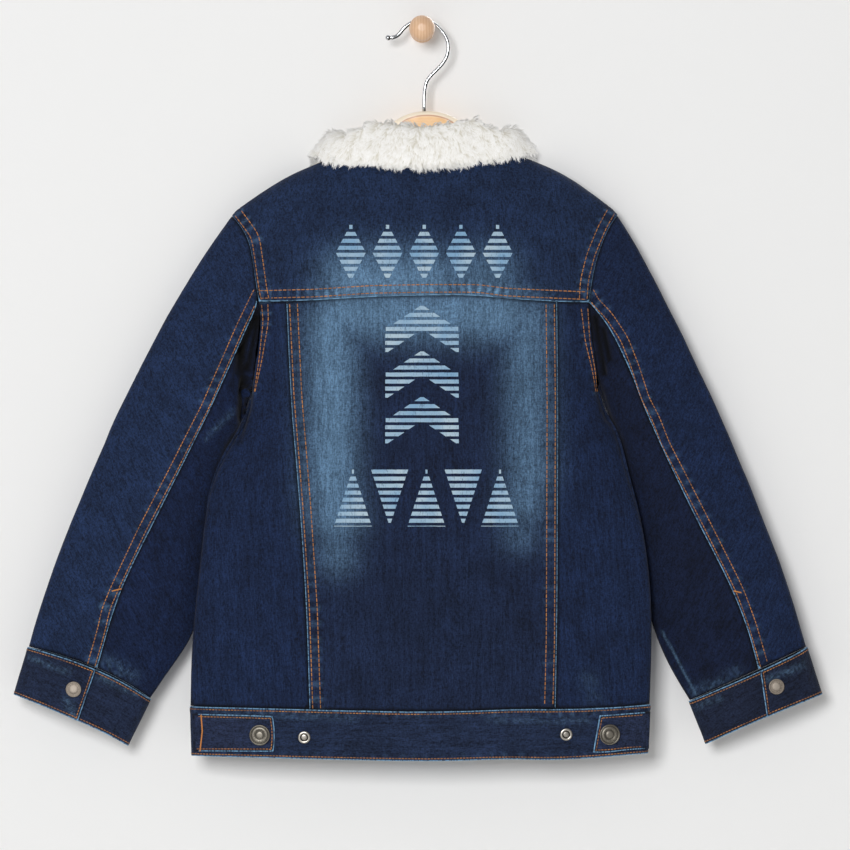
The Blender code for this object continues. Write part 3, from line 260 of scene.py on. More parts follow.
def makeDenim(name, colour, lean=0.0):
    def build(material):
        place = addNode(material, "TexCoord", out="Object")
        turned = addNode(material, "Mapping", {"Rotation": (0, math.radians(lean), 0)},
                         {"Vector": place})

        # noise drawn out to a size given across and along the yarns
        def yarns(pattern, detail):
            across, along = (1 / (size * mm) for size in denim[pattern])
            scaled = addNode(material, "Mapping", {"Scale": (across, across, along)},
                             {"Vector": turned})
            return noisy(material, scaled, 1.0, detail, 0.6)

        edge, under, wear, ridge, fade = (painted(material, key) for key in
                                          ("edge", "under", "wear", "ridge", "fade"))
        slub = yarns("slub", 3)
        threads = maths(material, "MULTIPLY", slub, denim["slubShare"])
        for pattern, detail in (("streak", 1), ("cross", 2)):
            threads = maths(material, "MULTIPLY_ADD", yarns(pattern, detail),
                            denim[pattern + "Share"], threads)
        tone = spread(material, threads, *denim["threadTone"])
        patches = spread(material, yarns("patch", 2), *denim["patchTone"])
        # painted light and shade: the tone is raised on the crests of puckers, creases and broad
        # folds and lowered in their troughs, and painted shade darkens it beside seams, tucked
        # edges and hollows
        ridgeLightAndShade = maths(material, "ADD", ridge, 1.0)
        shade = spread(material, under, *denim["shade"])
        for share in (patches, ridgeLightAndShade, shade):
            tone = maths(material, "MULTIPLY", tone, share)
        grain = spread(material, threads, *denim["fadeGrain"])
        body = mixed(material, maths(material, "MULTIPLY", fade, grain), colour, denim["faded"])
        # where it has faded the yarns are all pale, and their contrast is soft
        contrast = maths(material, "MULTIPLY_ADD", fade, -denim["fadedSoftness"], 1.0)
        tone = maths(material, "SUBTRACT", tone, 1.0)
        tone = maths(material, "MULTIPLY_ADD", tone, contrast, 1.0)
        toned = addNode(material, "HueSaturation", {}, {"Value": tone, "Color": body})
        # dye rubbed off the ridges and the folded edges
        rubbed = maths(material, "MAXIMUM", wear, spread(material, edge, *denim["wornEdge"]))
        grain = spread(material, yarns("weft", 2), *denim["wearGrain"])
        rubbed = maths(material, "MULTIPLY", rubbed, grain, clamp=True)
        pitch = 2 * math.pi * denim["twillPitch"] * mm
        twill = addNode(material, "TexWave", {"bands_direction": "DIAGONAL", "Distortion": 1.5,
                                              "Scale": 1 / pitch}, {"Vector": turned}, "Fac")
        height = maths(material, "MULTIPLY_ADD", twill, denim["twillShare"], slub)
        return mixed(material, rubbed, toned, denim["worn"]), height, denim["relief"]

    return newMaterial("indigo denim woven " + name, denim["surface"], build)


# painted shade: the right sleeve, right under sleeve and right cuff are darker copies of the left
# ones, and the under sleeves darker than the sleeves, standing in for the light falling from the
# upper left
denims = {
    "yoke": makeDenim("yoke", "#192844"),
    "back": makeDenim("back", "#15213b"),
    "side": makeDenim("sides", "#13213e", 4.0),
    "front": makeDenim("fronts", "#15213b"),
    "leftSleeve": makeDenim("left sleeve", "#182744", 26.0),
    "rightSleeveShaded": makeDenim("right sleeve", "#13213e", -26.0),
    "under": makeDenim("left under sleeve", "#101d3a", 26.0),
    "rightUnderShaded": makeDenim("right under sleeve", "#0c162e", -26.0),
    "band": makeDenim("band", "#1b2740", 90.0),
    "cuff": makeDenim("left cuff", "#1a243b", 60.0),
    "rightCuffShaded": makeDenim("right cuff", "#161e32", -60.0),
    "tab": makeDenim("tabs", "#1f2840", 90.0),
}

# seams on the back: line in front view (x, height in mm), rows of topstitching beside it
# (positive to the right of the way along, each at its first and last end), length of a stitch
# (0 for none), pitch and strength of the puckers, how much of the edge is unworn in mm, and
# the pieces on top
plainSeam = {"stitch": 3.7, "pitch": 9.0, "pucker": 0.7, "washed": False, "unworn": 0.0}
backSeams = {
    "yokeHem": {
        "line": [(-146, -246.5), (-97, -245.5), (-46, -242.2), (3, -241.3), (50, -241.3),
                 (75, -244.6), (121.5, -246.6), (147, -247.5)],
        "rows": [(-2.6, -2.6), (-9.4, -9.4)], "on": ["yoke_cloth"],
        "stitch": 4.1, "pitch": 8.5, "pucker": 1.0, "washed": True},
    "yokeLeft": {
        "line": [(-171, -170), (-156, -190), (-152, -216), (-149, -237), (-147, -246)],
        "rows": [(-2.4, -2.4), (-9.6, -9.4)], "on": ["yoke_cloth"],
        "pucker": 0.8, "unworn": 0.55},
    "armholeLeft": {
        "line": [(-147, -246), (-145, -265), (-147, -282), (-148.5, -298), (-153, -328)],
        "rows": [(-2.2, -1.8), (-8.2, -2.4)], "on": ["side_panel_cloth_left"], "unworn": 30.0},
    "yokeRight": {
        "line": [(176, -168), (168, -182), (157.5, -207), (152, -229), (151, -245)],
        "rows": [(2.4, 2.4), (9.6, 9.4)], "on": ["yoke_cloth"], "pucker": 0.8, "unworn": 0.55},
    "armholeRight": {
        "line": [(151, -245), (153, -282), (157.5, -306), (160, -328)],
        "rows": [(2.2, 1.8), (8.6, 3.0)], "on": ["side_panel_cloth_right"], "unworn": 30.0},
    "panelLeft": {
        "line": [(-122, -249), (-118, -333), (-114, -380), (-110, -430), (-104, -522),
                 (-101, -613)],
        "rows": [(-3, -3), (-10, -10)], "on": ["back_panel_cloth"],
        "stitch": 4.1, "pitch": 11.0, "pucker": 0.5, "unworn": 0.1},
    "panelRight": {
        "line": [(121.5, -249), (122.4, -333), (121.5, -551), (120, -613)],
        "rows": [(2.6, 2.6), (10, 10)], "on": ["back_panel_cloth"],
        "stitch": 4.1, "pitch": 11.0, "pucker": 0.5, "unworn": 0.15},
    "sleeveLeft": {
        "line": [(-143, -240), (-148, -250), (-159, -273), (-176, -312), (-190, -344),
                 (-207.5, -378), (-221, -405), (-247, -455), (-271, -506), (-279, -525),
                 (-283, -543), (-289, -564), (-292.5, -576)],
        "rows": [(2.2, 2.2), (9.2, 9.2)], "on": ["sleeve_cloth_left"],
        "stitch": 3.2, "pitch": 12.0},
    "sleeveRight": {
        "line": [(146, -240), (151, -250), (163, -262), (177, -283), (186, -306), (196, -337),
                 (205, -354), (214, -377), (229.5, -407), (275, -497), (282, -512),
                 (291.6, -538), (303, -577)],
        "rows": [(-2.2, -2.2), (-9.2, -9.2)], "on": ["sleeve_cloth_right"],
        "stitch": 3.2, "pitch": 12.0},
    "hemTop": {
        "line": [(-208, -611), (-97, -613.6), (3, -615), (100, -612.6), (204, -608)],
        "rows": [(2.2, 2.2)], "on": ["waistband_cloth"],
        "stitch": 0, "pitch": 10.0, "pucker": 0.6},
    "hemBottom": {
        "line": [(-203, -654), (7, -657), (198, -651)],
        "rows": [(-2.2, -2.2)], "on": ["waistband_cloth"],
        "stitch": 0, "pitch": 12.0, "pucker": 0.35},
}
backSeams = {name: {**plainSeam, **seam} for name, seam in backSeams.items()}
# edges of the sleeves that run in under the cuffs, their under side on the left of the way; the
# sleeve beside them is painted in shade
tucked = [
    [(-357, -557), (-324, -569), (-293.5, -577), (-268, -592), (-244, -604)],
    [(240, -606), (272, -591), (304.5, -578), (328, -567), (349, -557)],
]
# where the wash has taken the dye off the back: from x, height, to x, height, reach, share
fades = [
    (-62, -229, 5, -229, 26, 0.84), (5, -227, 62, -223, 23, 0.52),
    (-70, -256, 72, -258, 24, 0.82), (-81, -268, -81, -412, 21, 0.82),
    (-81, -412, -77, -440, 22, 0.72), (-79, -455, -76, -475, 18, 0.38),
    (94, -262, 96, -400, 20, 0.56), (96, -400, 90, -430, 19, 0.5),
    (88, -440, 88, -456, 17, 0.26), (-285, -571, -262, -585, 7, 0.14),
    (-353, -568, -318, -580, 2.6, 0.2), (-290, -585, -258, -600, 2.8, 0.24),
    (-318, -606, -312, -619, 4, 0.2), (246, -600, 284, -583, 6, 0.12),
    (312, -587, 344, -574, 3, 0.2), (247, -613, 268, -604, 3, 0.14),
    (217, -545, 248, -602, 0.8, 0.42), (150, -585, 156, -606, 8, 0.08),
    (-173, -345, -195, -370, 2.2, 0.16), (-186, -618, -60, -621, 3, 0.12),
    (60, -622, 150, -620, 3, 0.12),
]
# creases listed on the back: from x, height, to x, height, half width, rise in mm
creases = [
    (-152, -262, -170, -322, 4.5, -3.2), (-148, -300, -150, -345, 4, 1.6),
    (-156, -330, -166, -372, 4, -2.4), (156, -258, 172, -300, 4.5, -2.6),
    (160, -320, 168, -352, 4, -2.0), (-150, -262, -205, -300, 5, 0.9),
    (-158, -282, -214, -330, 6, -0.8), (-150, -330, -120, -352, 8, 0.9),
    (-196, -420, -238, -388, 7, 0.9), (-224, -470, -268, -432, 7, -0.8),
    (-248, -548, -306, -520, 6, 0.9), (-262, -566, -316, -545, 6, -0.8),
    (-286, -530, -312, -556, 5, 0.8), (-172, -343, -197, -373, 3, 1.4),
    (158, -290, 205, -318, 6, 0.9), (176, -322, 226, -346, 6, -0.8),
    (205, -410, 246, -392, 7, 0.8), (240, -486, 286, -470, 7, -0.8),
    (262, -560, 312, -540, 6, 0.9), (-92, -560, -86, -612, 6, 0.8),
    (-60, -572, -52, -614, 7, -0.9), (-18, -566, -12, -616, 7, 0.8),
    (24, -572, 30, -616, 6, -0.8), (66, -562, 70, -614, 7, 0.9), (98, -575, 102, -612, 5, -0.7),
    (-140, -560, -150, -612, 8, 0.9), (150, -560, 156, -610, 8, -0.8),
    (-70, -622, -44, -652, 4, 0.7), (-52, -620, -26, -650, 4, -0.6),
    (-20, -622, 6, -654, 4, 0.7), (8, -622, 36, -654, 4, -0.6), (40, -622, 70, -652, 4, 0.7),
    (74, -620, 92, -648, 4, -0.5),
]
# hollows beside the armholes, laid like the creases, each in its own piece only, and painted in
# shade
hollows = [
    (-148, -256, -163, -292, 3.5, -5, "under_sleeve_cloth_left"),
    (-163, -292, -157, -330, 6, -6, "under_sleeve_cloth_left"),
    (-147, -262, -154, -308, 4, -6, "under_sleeve_cloth_left"),
    (-156, -320, -166, -352, 5, -3, "under_sleeve_cloth_left"),
    (156, -262, 163, -312, 3.5, -5, "under_sleeve_cloth_right"),
    (163, -272, 168, -300, 3, -4, "under_sleeve_cloth_right"),
]
# where the worn cloth has settled: place, reach, shift across and up, ends of the pieces' names
settled = [
    (-167, -357, 16, 5.2, 0, ("sleeve_cloth_left",)),
    (172, -350, 20, -3.0, 0, ("sleeve_cloth_right",)),
    (-318, -640, 45, -2.2, -1.8, ("cuff_cloth_left",)),
    (150, -605, 60, 0, -3.0, ("back_panel_cloth", "side_panel_cloth_right", "waistband_cloth",
                              "tab_cloth_right", "front_cloth_right")),
    (115, -655, 35, 0, -2.4, ("waistband_cloth",)), (160, -655, 22, 0, -2.8, ("tab_cloth_right",)),
    (158, -655, 30, 0, -1.0, ("waistband_cloth",)),
    (-154, -385, 45, -4.0, 0, ("front_cloth_left",)),
    (156, -385, 45, 4.0, 0, ("front_cloth_right",)),
]
# how far the foot of the waistband stretches down, in mm
letDown = 1.7
# pieces whose every edge is turned and worn
turnedEdges = ("tab", "cuff", "waistband")
# each cloth piece: its solid, denim, flat cut in mm, its area as a share, how it is held and
# on what
cloth = {
    "yoke_cloth": ("back_yoke", "yoke", (400, 135), 0.75, "draped", "hanger_body"),
    "back_panel_cloth": ("back_center_panel", "back", (250, 372), 0.93, "hung", "yoke_cloth"),
    "side_panel_cloth_left": ("back_side_panel_left", "side", (110, 370), 0.70, "hung",
                              "yoke_cloth"),
    "side_panel_cloth_right": ("back_side_panel_right", "side", (105, 370), 0.65, "hung",
                               "yoke_cloth"),
    "front_cloth_left": ("front_left", "front", (225, 490), 0.77, "draped", "hanger_body"),
    "front_cloth_right": ("front_right", "front", (230, 490), 0.77, "draped", "hanger_body"),
    "placket_cloth": ("front_placket", "front", (36, 470), 0.95, "hung", "front_cloth_left"),
    "sleeve_cloth_left": ("sleeve_upper_left", "leftSleeve", (200, 480), 0.79, "hung",
                          "yoke_cloth"),
    "sleeve_cloth_right": ("sleeve_upper_right", "rightSleeveShaded", (190, 470), 0.76, "hung",
                           "yoke_cloth"),
    "under_sleeve_cloth_left": ("sleeve_under_left", "under", (80, 370), 0.61, "hung",
                                "sleeve_cloth_left"),
    "under_sleeve_cloth_right": ("sleeve_under_right", "rightUnderShaded", (85, 370), 0.64, "hung",
                                 "sleeve_cloth_right"),
    "cuff_cloth_left": ("cuff_left", "cuff", (260, 52), 0.99, "hung", "sleeve_cloth_left"),
    "cuff_cloth_right": ("cuff_right", "rightCuffShaded", (240, 52), 0.95, "hung", "sleeve_cloth_right"),
    "waistband_cloth": ("waistband", "band", (860, 48), 0.99, "hung", "back_panel_cloth"),
    "tab_cloth_left": ("waist_tab_left", "tab", (72, 35), 0.99, "laid", "waistband_cloth"),
    "tab_cloth_right": ("waist_tab_right", "tab", (48, 36), 0.98, "laid", "waistband_cloth"),
}


# a smooth line through the table's points, read every step mm
def throughPoints(points, step=2.0):
    points = np.asarray(points, float)
    runs = np.r_[0, np.cumsum(np.linalg.norm(np.diff(points, axis=0), axis=1))]
    at = np.linspace(0, runs[-1], max(3, int(runs[-1] / step) + 1))
    line = np.column_stack([np.interp(at, runs, column) for column in points.T])
    for _ in range(6):
        line[1:-1] = (line[:-2] + 2 * line[1:-1] + line[2:]) / 4
    return at, line


# for points in front view: how far along a line they are and how far to its right, in mm
def besideLine(flat, points):
    at, line = throughPoints(points)
    tangent = np.gradient(line, axis=0)
    tangent /= np.linalg.norm(tangent, axis=1)[:, None]
    along, aside = np.full(len(flat), -1.0), np.full(len(flat), 1e3)
    near = np.where(((flat > line.min(0) - 30) & (flat < line.max(0) + 30)).all(1))[0]
    for part in np.array_split(near, max(1, len(near) // 4000)):
        gaps = flat[part][:, None] - line[None]
        i = np.argmin((gaps ** 2).sum(2), axis=1)
        gap, way = gaps[np.arange(len(part)), i], tangent[i]
        reach = (gap * way).sum(1)
        inside = ((i > 0) | (reach > -4)) & ((i < len(line) - 1) | (reach < 4))
        along[part[inside]] = (at[i] + reach)[inside]
        aside[part[inside]] = (gap[:, 0] * way[:, 1] - gap[:, 1] * way[:, 0])[inside]
    return along, aside


# distance in mm from points in front view to a straight stretch, and the share along it
def besideStretch(flat, x0, z0, x1, z1):
    start, way = np.array([x0, z0], float), np.array([x1 - x0, z1 - z0], float)
    share = np.clip((flat - start) @ way / (way @ way), 0, 1)
    return np.linalg.norm(flat - start - share[:, None] * way, axis=1), share


# how wide a seam is felt, how far a top layer's edge may be from it and how far it shades, mm;
# a distance called far has no edge near
seamReach = {"felt": 22, "edge": 5, "slack": 2.2, "shade": 12}
far = 30.0


# how far a piece's cloth rises, how it is worn and faded, and the painted light and shade on it,
# at points on its outer face
def sewnRelief(name, points, edgeDistance, onBack):
    flat = points[:, [0, 2]] / mm
    rise, wear, ridge, fade = (np.zeros(len(points)) for _ in range(4))
    under, edge = np.full(len(points), far), np.full(len(points), far)
    if name.startswith(turnedEdges):
        # a tab's outer end runs on into the band
        edge = np.where(name.startswith("tab") & (np.abs(flat[:, 0]) > 201), far, edgeDistance)
    rough = drift(points, 6 * mm, 1)
    broad = drift(points, 34 * mm, 2)
    rise += 0.10 * rough + 0.45 * broad * ease(edgeDistance / 14)
    for number, seam in enumerate(backSeams.values()):
        along, aside = besideLine(flat, seam["line"])
        at = np.where((np.abs(aside) < seamReach["felt"]) & onBack)[0]
        onTop = name in seam["on"]
        s, t = (aside * np.sign(seam["rows"][0][0]))[at], along[at]
        share = np.clip(t / max(t.max(initial=1.0), 1.0), 0, 1)
        rows = [abs(first) + (abs(last) - abs(first)) * share for first, last in seam["rows"]]
        if onTop:
            beside = ((np.abs(s) < seamReach["edge"])
                      & (edgeDistance[at] > np.abs(s) - seamReach["slack"]))
            worn = np.minimum(edge[at], edgeDistance[at] + seam["unworn"])
            edge[at] = np.where(beside, worn, edge[at])
        else:
            # painted shade on the lower layer beside the seam's top piece
            shaded = np.minimum(under[at], edgeDistance[at])
            under[at] = np.where(np.abs(s) < seamReach["shade"], shaded, under[at])
        bend = drift(np.column_stack([t * mm, np.full(len(t), number), s * 0.2 * mm]), 22 * mm, 3)
        level = drift(np.column_stack([t * mm, np.full(len(t), number), t * 0]), 34 * mm, 4)
        wave = np.sin(2 * math.pi * t / seam["pitch"] + 3.0 * bend) * (0.75 + 0.9 * level)
        sewn = ease((s + 0.6) / 1.6) * (1 - ease((s - rows[-1] - 1) / 4))
        beyond = np.exp(-(s / 6) ** 2) * (s < 0) * 0.45
        window = (sewn + beyond) * seam["pucker"]
        rise[at] += 0.42 * wave * window + 0.5 * sewn - 0.3 * np.exp(-(s / 0.9) ** 2)
        for row in rows:
            rise[at] -= 0.32 * np.exp(-((s - row) / 0.9) ** 2)
        x = flat[at, 0]
        # painted light and shade: the puckers' crests lighter and their troughs darker
        ridge[at] += 0.34 * wave * window
        if seam["washed"]:
            # the wash catches the puckers between the rows, most at the middle of the back
            middle = 0.3 + 0.7 * ease((x + 105) / 40) * (1 - ease((x - 85) / 35))
            patchy = np.clip(0.75 + 1.5 * drift(points[at], 5 * mm, 6), 0, 1.4)
            between = np.exp(-((s - 6) / 3) ** 2) + 0.35 * np.exp(-((s - 11.5) / 1.6) ** 2)
            peaks = ease((wave - 0.15) / 1.0) * patchy * middle * onTop
            wear[at] += 0.95 * peaks * between * seam["pucker"]
        else:
            wear[at] += 0.17 * np.maximum(wave, 0) ** 1.5 * window * onTop
    # painted shade on the sleeve beside the edges that run in under the cuffs
    if name.startswith(("sleeve", "under_sleeve")):
        for line in tucked:
            _, aside = besideLine(flat, line)
            near = (np.abs(aside) < seamReach["shade"]) & onBack
            under = np.where(near, np.minimum(under, edgeDistance), under)
    for x0, z0, x1, z1, width, lift, *only in creases + hollows:
        if only and only[0] != name:
            continue
        gap, share = besideStretch(flat, x0, z0, x1, z1)
        shape = np.exp(-(gap / width) ** 2) * onBack
        rise += lift * shape
        # painted light on each crease's crest and painted shade in its hollow
        ridge += 0.10 * lift * shape
        if only:
            # the hollows are also painted in shade
            shaded = np.minimum(under, gap / width * 2.5)
            under = np.where((gap < width) & onBack, shaded, under)
    for x0, z0, x1, z1, reach, share in fades:
        gap, _ = besideStretch(flat, x0, z0, x1, z1)
        amount = share * np.exp(-(gap / reach) ** 2 * 0.9) * onBack
        if 2 < reach < 10:
            near = np.where(amount > 0.02)[0]
            amount[near] *= np.clip(0.8 + 1.8 * drift(points[near], 3 * mm, 5), 0, 2)
        fade = np.maximum(fade, amount)
    # painted light and shade that follow the broad and fine relief
    ridge += 0.10 * broad + 0.10 * rough
    return rise * mm, {"wear": np.clip(wear, 0, 0.85), "ridge": ridge, "fade": fade,
                       "under": under, "edge": edge}


# points inside the body and the sleeves, from which the cloth faces away
insides = {
    "body": ((0, -38, -180), (0, -38, -640)),
    "left": ((-150, -40, -190), (-318, -40, -610)),
    "right": ((150, -40, -190), (316, -40, -610)),
}
# half the width of the body's flat middle, in mm
bodyHalf = 110
outerFaces = {"points": [], "faces": [], "owner": []}
for name, (node, kind, flat, share, held, restsOn) in cloth.items():
    # the hidden front is kept coarser; the tabs' corners are sharper
    hiddenPiece = "placket" in name or "front" in name
    mesh = roundedForm(node, 2 if hiddenPiece else 3, 25 if "tab" in name else 50)
    points, normals = readPoints(mesh), readPoints(mesh, "normal")
    inside = insides["body"]
    if "sleeve" in node or "cuff" in node:
        inside = insides[node.rsplit("_", 1)[1]]
    low, high = np.array(inside, float) * mm
    middle = low + ((points[:, 2] - low[2]) / (high[2] - low[2]))[:, None] * (high - low)
    if inside is insides["body"]:
        middle[:, 0] = np.clip(points[:, 0], -bodyHalf * mm, bodyHalf * mm)
    away = points - middle
    corners = np.zeros(len(mesh.loops), int)
    mesh.loops.foreach_get("vertex_index", corners)
    quads = corners.reshape(-1, 4)
    side = np.zeros(len(quads), int)
    mesh.attributes["side"].data.foreach_get("value", side)
    crossed = np.cross(points[quads[:, 2]] - points[quads[:, 0]],
                       points[quads[:, 3]] - points[quads[:, 1]])
    facing = (crossed * away[quads].mean(1)).sum(1)
    outer = 0 if facing[side == 0].sum() > facing[side == 1].sum() else 1
    onOuter, onRest = np.zeros(len(points), bool), np.zeros(len(points), bool)
    onOuter[quads[side == outer]] = True
    onRest[quads[side != outer]] = True
    onRim = onOuter & onRest
    rimTree = makeTree(points, np.where(onRim)[0])
    edge = np.array([rimTree.find(p)[2] for p in points[onOuter]]) / mm
    rise, worn = sewnRelief(name, points[onOuter], edge, normals[onOuter][:, 1] < 0.25)
    # the relief is laid along the outer side's own normals, without the rims'
    outerQuads = quads[side == outer]
    outerNormals = np.zeros_like(points)
    for corner in range(4):
        np.add.at(outerNormals, outerQuads[:, corner], crossed[side == outer])
    move = np.zeros_like(points)
    move[onOuter] = unit(outerNormals[onOuter]) * rise[:, None]
    outerIndex = np.where(onOuter)[0]
    clothTree = makeTree(points, outerIndex)
    # the rest of the wall moves with the outer side nearest to it
    nearest = np.arange(len(points))
    for i in np.where(~onOuter)[0]:
        nearest[i] = clothTree.find(points[i])[1]
    move = move[nearest]
    if node == "waistband":
        move[:, 2] -= letDown * mm * ease((-640 - points[:, 2] / mm) / 12)
    for x, z, reach, across, up, pieces in settled:
        if name.endswith(pieces):
            gap = np.linalg.norm(points[:, [0, 2]] - np.array([x, z]) * mm, axis=1)
            move += np.exp(-(gap / (reach * mm)) ** 2)[:, None] * np.array([across, 0, up]) * mm
    movePoints(mesh, points + move)
    # the marks stored on the cloth: wear, fades and worn edges, the painted shade in under, and
    # the painted light and shade in ridge
    for key, found in worn.items():
        values = np.full(len(points), far if key in ("edge", "under") else 0.0)
        values[outerIndex] = found
        values[onRim[nearest]] = values[nearest[onRim[nearest]]]
        paint(mesh, key, values)
    base = sum(len(p) for p in outerFaces["points"])
    outerFaces["points"].append(points + move)
    outerFaces["faces"].append(outerQuads + base)
    outerFaces["owner"] += [name] * len(outerQuads)
    # the hidden side of the wall is kept coarse
    bm = bmesh.new()
    bm.from_mesh(mesh)
    layer = bm.faces.layers.int["side"]
    hidden = [face for face in bm.faces if face[layer] == 1 - outer]
    hiddenSet = set(hidden)
    hiddenVerts = [v for v in {v for face in hidden for v in face.verts}
                   if all(face in hiddenSet for face in v.link_faces)]
    hiddenEdges = [e for e in {e for face in hidden for e in face.edges}
                   if all(face in hiddenSet for face in e.link_faces)]
    bmesh.ops.dissolve_limit(bm, angle_limit=math.radians(6), verts=hiddenVerts, edges=hiddenEdges)
    bmesh.ops.triangulate(bm, faces=[face for face in bm.faces if len(face.verts) > 4])
    bm.to_mesh(mesh)
    bm.free()
    piece = show(name, mesh, denims[kind])
    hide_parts(node)
    print(name, sum(len(face.vertices) - 2 for face in mesh.polygons), "triangles")


# the cloth's outer faces, to set thread, print and trims on
allPoints = np.concatenate(outerFaces["points"])
clothFaces = BVHTree.FromPolygons([Vector(p) for p in allPoints],
                                  np.concatenate(outerFaces["faces"]).tolist())


# the place and normal of the cloth at x and height in mm, seen from the back or the front
def onCloth(x, z, pieces, back=True):
    start = Vector((x * mm, -0.2 if back else 0.1, z * mm))
    place, normal, face, _ = clothFaces.ray_cast(start, Vector((0, 1 if back else -1, 0)))
    if place is None or outerFaces["owner"][face] not in pieces:
        return None
    return place, normal if (normal.y < 0) == back else -normal


# core-spun polyester thread, lockstitched: rust orange, each stitch a short raised dash
threads = {"gap": 0.35, "width": 0.95, "height": 0.55, "rust": "#6b4222", "bright": "#cf8740",
           "tone": 0.54, "endShade": 0.7, "edgePitch": 2.9, "edgeTone": 0.38,
           "tackPitch": 0.9, "tackWidth": 0.65}
stitchForm = [(-0.5, 0.25), (-0.34, 1.0), (0.34, 1.0), (0.5, 0.25)]


class Thread:
    def __init__(self):
        self.points, self.faces, self.tones = [], [], []

    def add(self, first, last, normal, width, height, tone):
        way = last - first
        across = normal.cross(way).normalized() * width / 2
        lift = normal * height / 2
        middle = (first + last) / 2 + lift * 0.55
        start = len(self.points)
        for along, size in stitchForm:
            for turn in range(5):
                angle = 2 * math.pi * turn / 5
                self.points.append(middle + way * along + across * math.cos(angle) * size
                                   + lift * math.sin(angle) * size)
        for ring in range(3):
            for turn in range(5):
                a, b = start + ring * 5 + turn, start + ring * 5 + (turn + 1) % 5
                self.faces.append((a, b, b + 5, a + 5))
        self.faces += [tuple(start + i for i in (4, 3, 2, 1, 0)),
                       tuple(start + 15 + i for i in range(5))]
        # painted shade: each stitch is darker at its ends, where it dips into the cloth
        end = tone - threads["endShade"]
        self.tones += [end] * 5 + [tone] * 10 + [end] * 5

    # a row of stitches through places on the cloth, each (place, normal) or None
    def row(self, places, at, pitch, shade):
        count = int(at[-1] / pitch)
        long = at[-1] / count - threads["gap"]
        for k in range(count):
            middle = (k + 0.5) * at[-1] / count
            ends = []
            for end in (middle - long / 2, middle + long / 2):
                i = min(max(int(np.searchsorted(at, end)), 1), len(at) - 1)
                if places[i] is None or places[i - 1] is None:
                    break
                share = (end - at[i - 1]) / (at[i] - at[i - 1])
                ends.append(places[i - 1][0].lerp(places[i][0], share))
            if len(ends) == 2 and (ends[1] - ends[0]).length < 1.6 * long * mm:
                tone = shade + 0.6 * noise.noise(ends[0] / (7 * mm))
                self.add(ends[0], ends[1], places[i][1], threads["width"] * mm,
                         threads["height"] * mm, tone)

    # a dense bar of thread from one place to another
    def tack(self, start, end, pieces):
        start, end = Vector((start[0], 0, start[1])), Vector((end[0], 0, end[1]))
        way = end - start
        side = Vector((way.z, 0, -way.x)).normalized()
        for k in range(int(way.length / threads["tackPitch"]) + 1):
            place = start + way.normalized() * k * threads["tackPitch"]
            found = onCloth(place.x, place.z, pieces)
            if found:
                lean = side * threads["tackWidth"] * mm + way.normalized() * 0.35 * mm
                self.add(found[0] - lean, found[0] + lean, found[1], 0.9 * mm, 0.7 * mm, 1.0)


thread = Thread()
for seam in backSeams.values():
    for first, last in seam["rows"] if seam["stitch"] else ():
        at, line = throughPoints(seam["line"])
        row = (first + (last - first) * at / at[-1])[:, None]
        tangent = np.gradient(line, axis=0)
        tangent /= np.linalg.norm(tangent, axis=1)[:, None]
        line = line + row * np.column_stack([tangent[:, 1], -tangent[:, 0]])
        places = [onCloth(x, z, seam["on"]) for x, z in line]
        thread.row(places, at, seam["stitch"], threads["tone"])
# edges topstitched by piece: how far in from the edge, and between which x in mm
edged = {"cuff_cloth_left": (2.4, -400, 400), "cuff_cloth_right": (2.4, -400, 400),
         "tab_cloth_left": (2.3, -203.4, 0), "tab_cloth_right": (2.3, 0, 200.2),
         "waistband_cloth": (2.2, -400, 400),
         "placket_cloth": (2.6, -400, 400)}


# rows beside the outer face's own edges
def edgeRows(name, inset, low, high):
    number = list(cloth).index(name)
    points = outerFaces["points"][number]
    faces = outerFaces["faces"][number] - sum(len(p) for p in outerFaces["points"][:number])
    onward, across = {}, {}
    for quad in faces.tolist():
        for a, b in zip(quad, quad[1:] + quad[:1]):
            onward[(a, b)] = quad
    nextTo = {a: b for (a, b) in onward if (b, a) not in onward}
    while nextTo:
        start = next(iter(nextTo))
        loop, here = [], start
        while here in nextTo:
            loop.append(here)
            here = nextTo.pop(here)
        ring = points[loop]
        quads = [onward.get((a, b)) for a, b in zip(loop, loop[1:] + loop[:1])]
        middles = np.array([points[q].mean(0) if q else points[a] for q, a in zip(quads, loop)])
        tangent = np.roll(ring, -2, axis=0) - np.roll(ring, 2, axis=0)
        inward = middles - (ring + np.roll(ring, -1, axis=0)) / 2
        along = (inward * tangent).sum(1) / np.maximum((tangent ** 2).sum(1), 1e-12)
        inward -= tangent * along[:, None]
        for _ in range(4):
            inward = (np.roll(inward, 1, axis=0) + inward + np.roll(inward, -1, axis=0)) / 3
        inward /= np.maximum(np.linalg.norm(inward, axis=1), 1e-9)[:, None]
        row = ring + inward * inset * mm
        places = []
        for place in row:
            found, normal, face, _ = clothFaces.find_nearest(Vector(place))
            kept = outerFaces["owner"][face] == name and low * mm < place[0] < high * mm
            places.append((found, normal) if kept else None)
        places.append(places[0])
        steps = np.linalg.norm(np.diff(np.vstack([row, row[:1]]), axis=0), axis=1)
        at = np.r_[0, np.cumsum(steps)] / mm
        thread.row(places, at, threads["edgePitch"], threads["edgeTone"])


for name, (inset, low, high) in edged.items():
    edgeRows(name, inset, low, high)
thread.tack((-271, -505.5), (-279, -507.5), ["sleeve_cloth_left"])
thread.tack((281, -507.5), (288, -509), ["sleeve_cloth_right"])
thread.tack((-198.5, -618.8), (-197.4, -633), ["tab_cloth_left"])
thread.tack((-197.4, -633), (-199.6, -651.8), ["tab_cloth_left"])


def buildThread(material):
    tone = painted(material, "tone")
    return mixed(material, tone, threads["rust"], threads["bright"]), None, 0


threadSurface = newMaterial("polyester topstitch thread spun",
                            {"Roughness": 0.62, "Sheen Weight": 0.1}, buildThread)
mesh = newMesh("topstitching", thread.points, thread.faces)
paint(mesh, "tone", thread.tones)
show("topstitching", mesh, threadSurface)
print("topstitching", len(thread.points) // 20, "stitches")
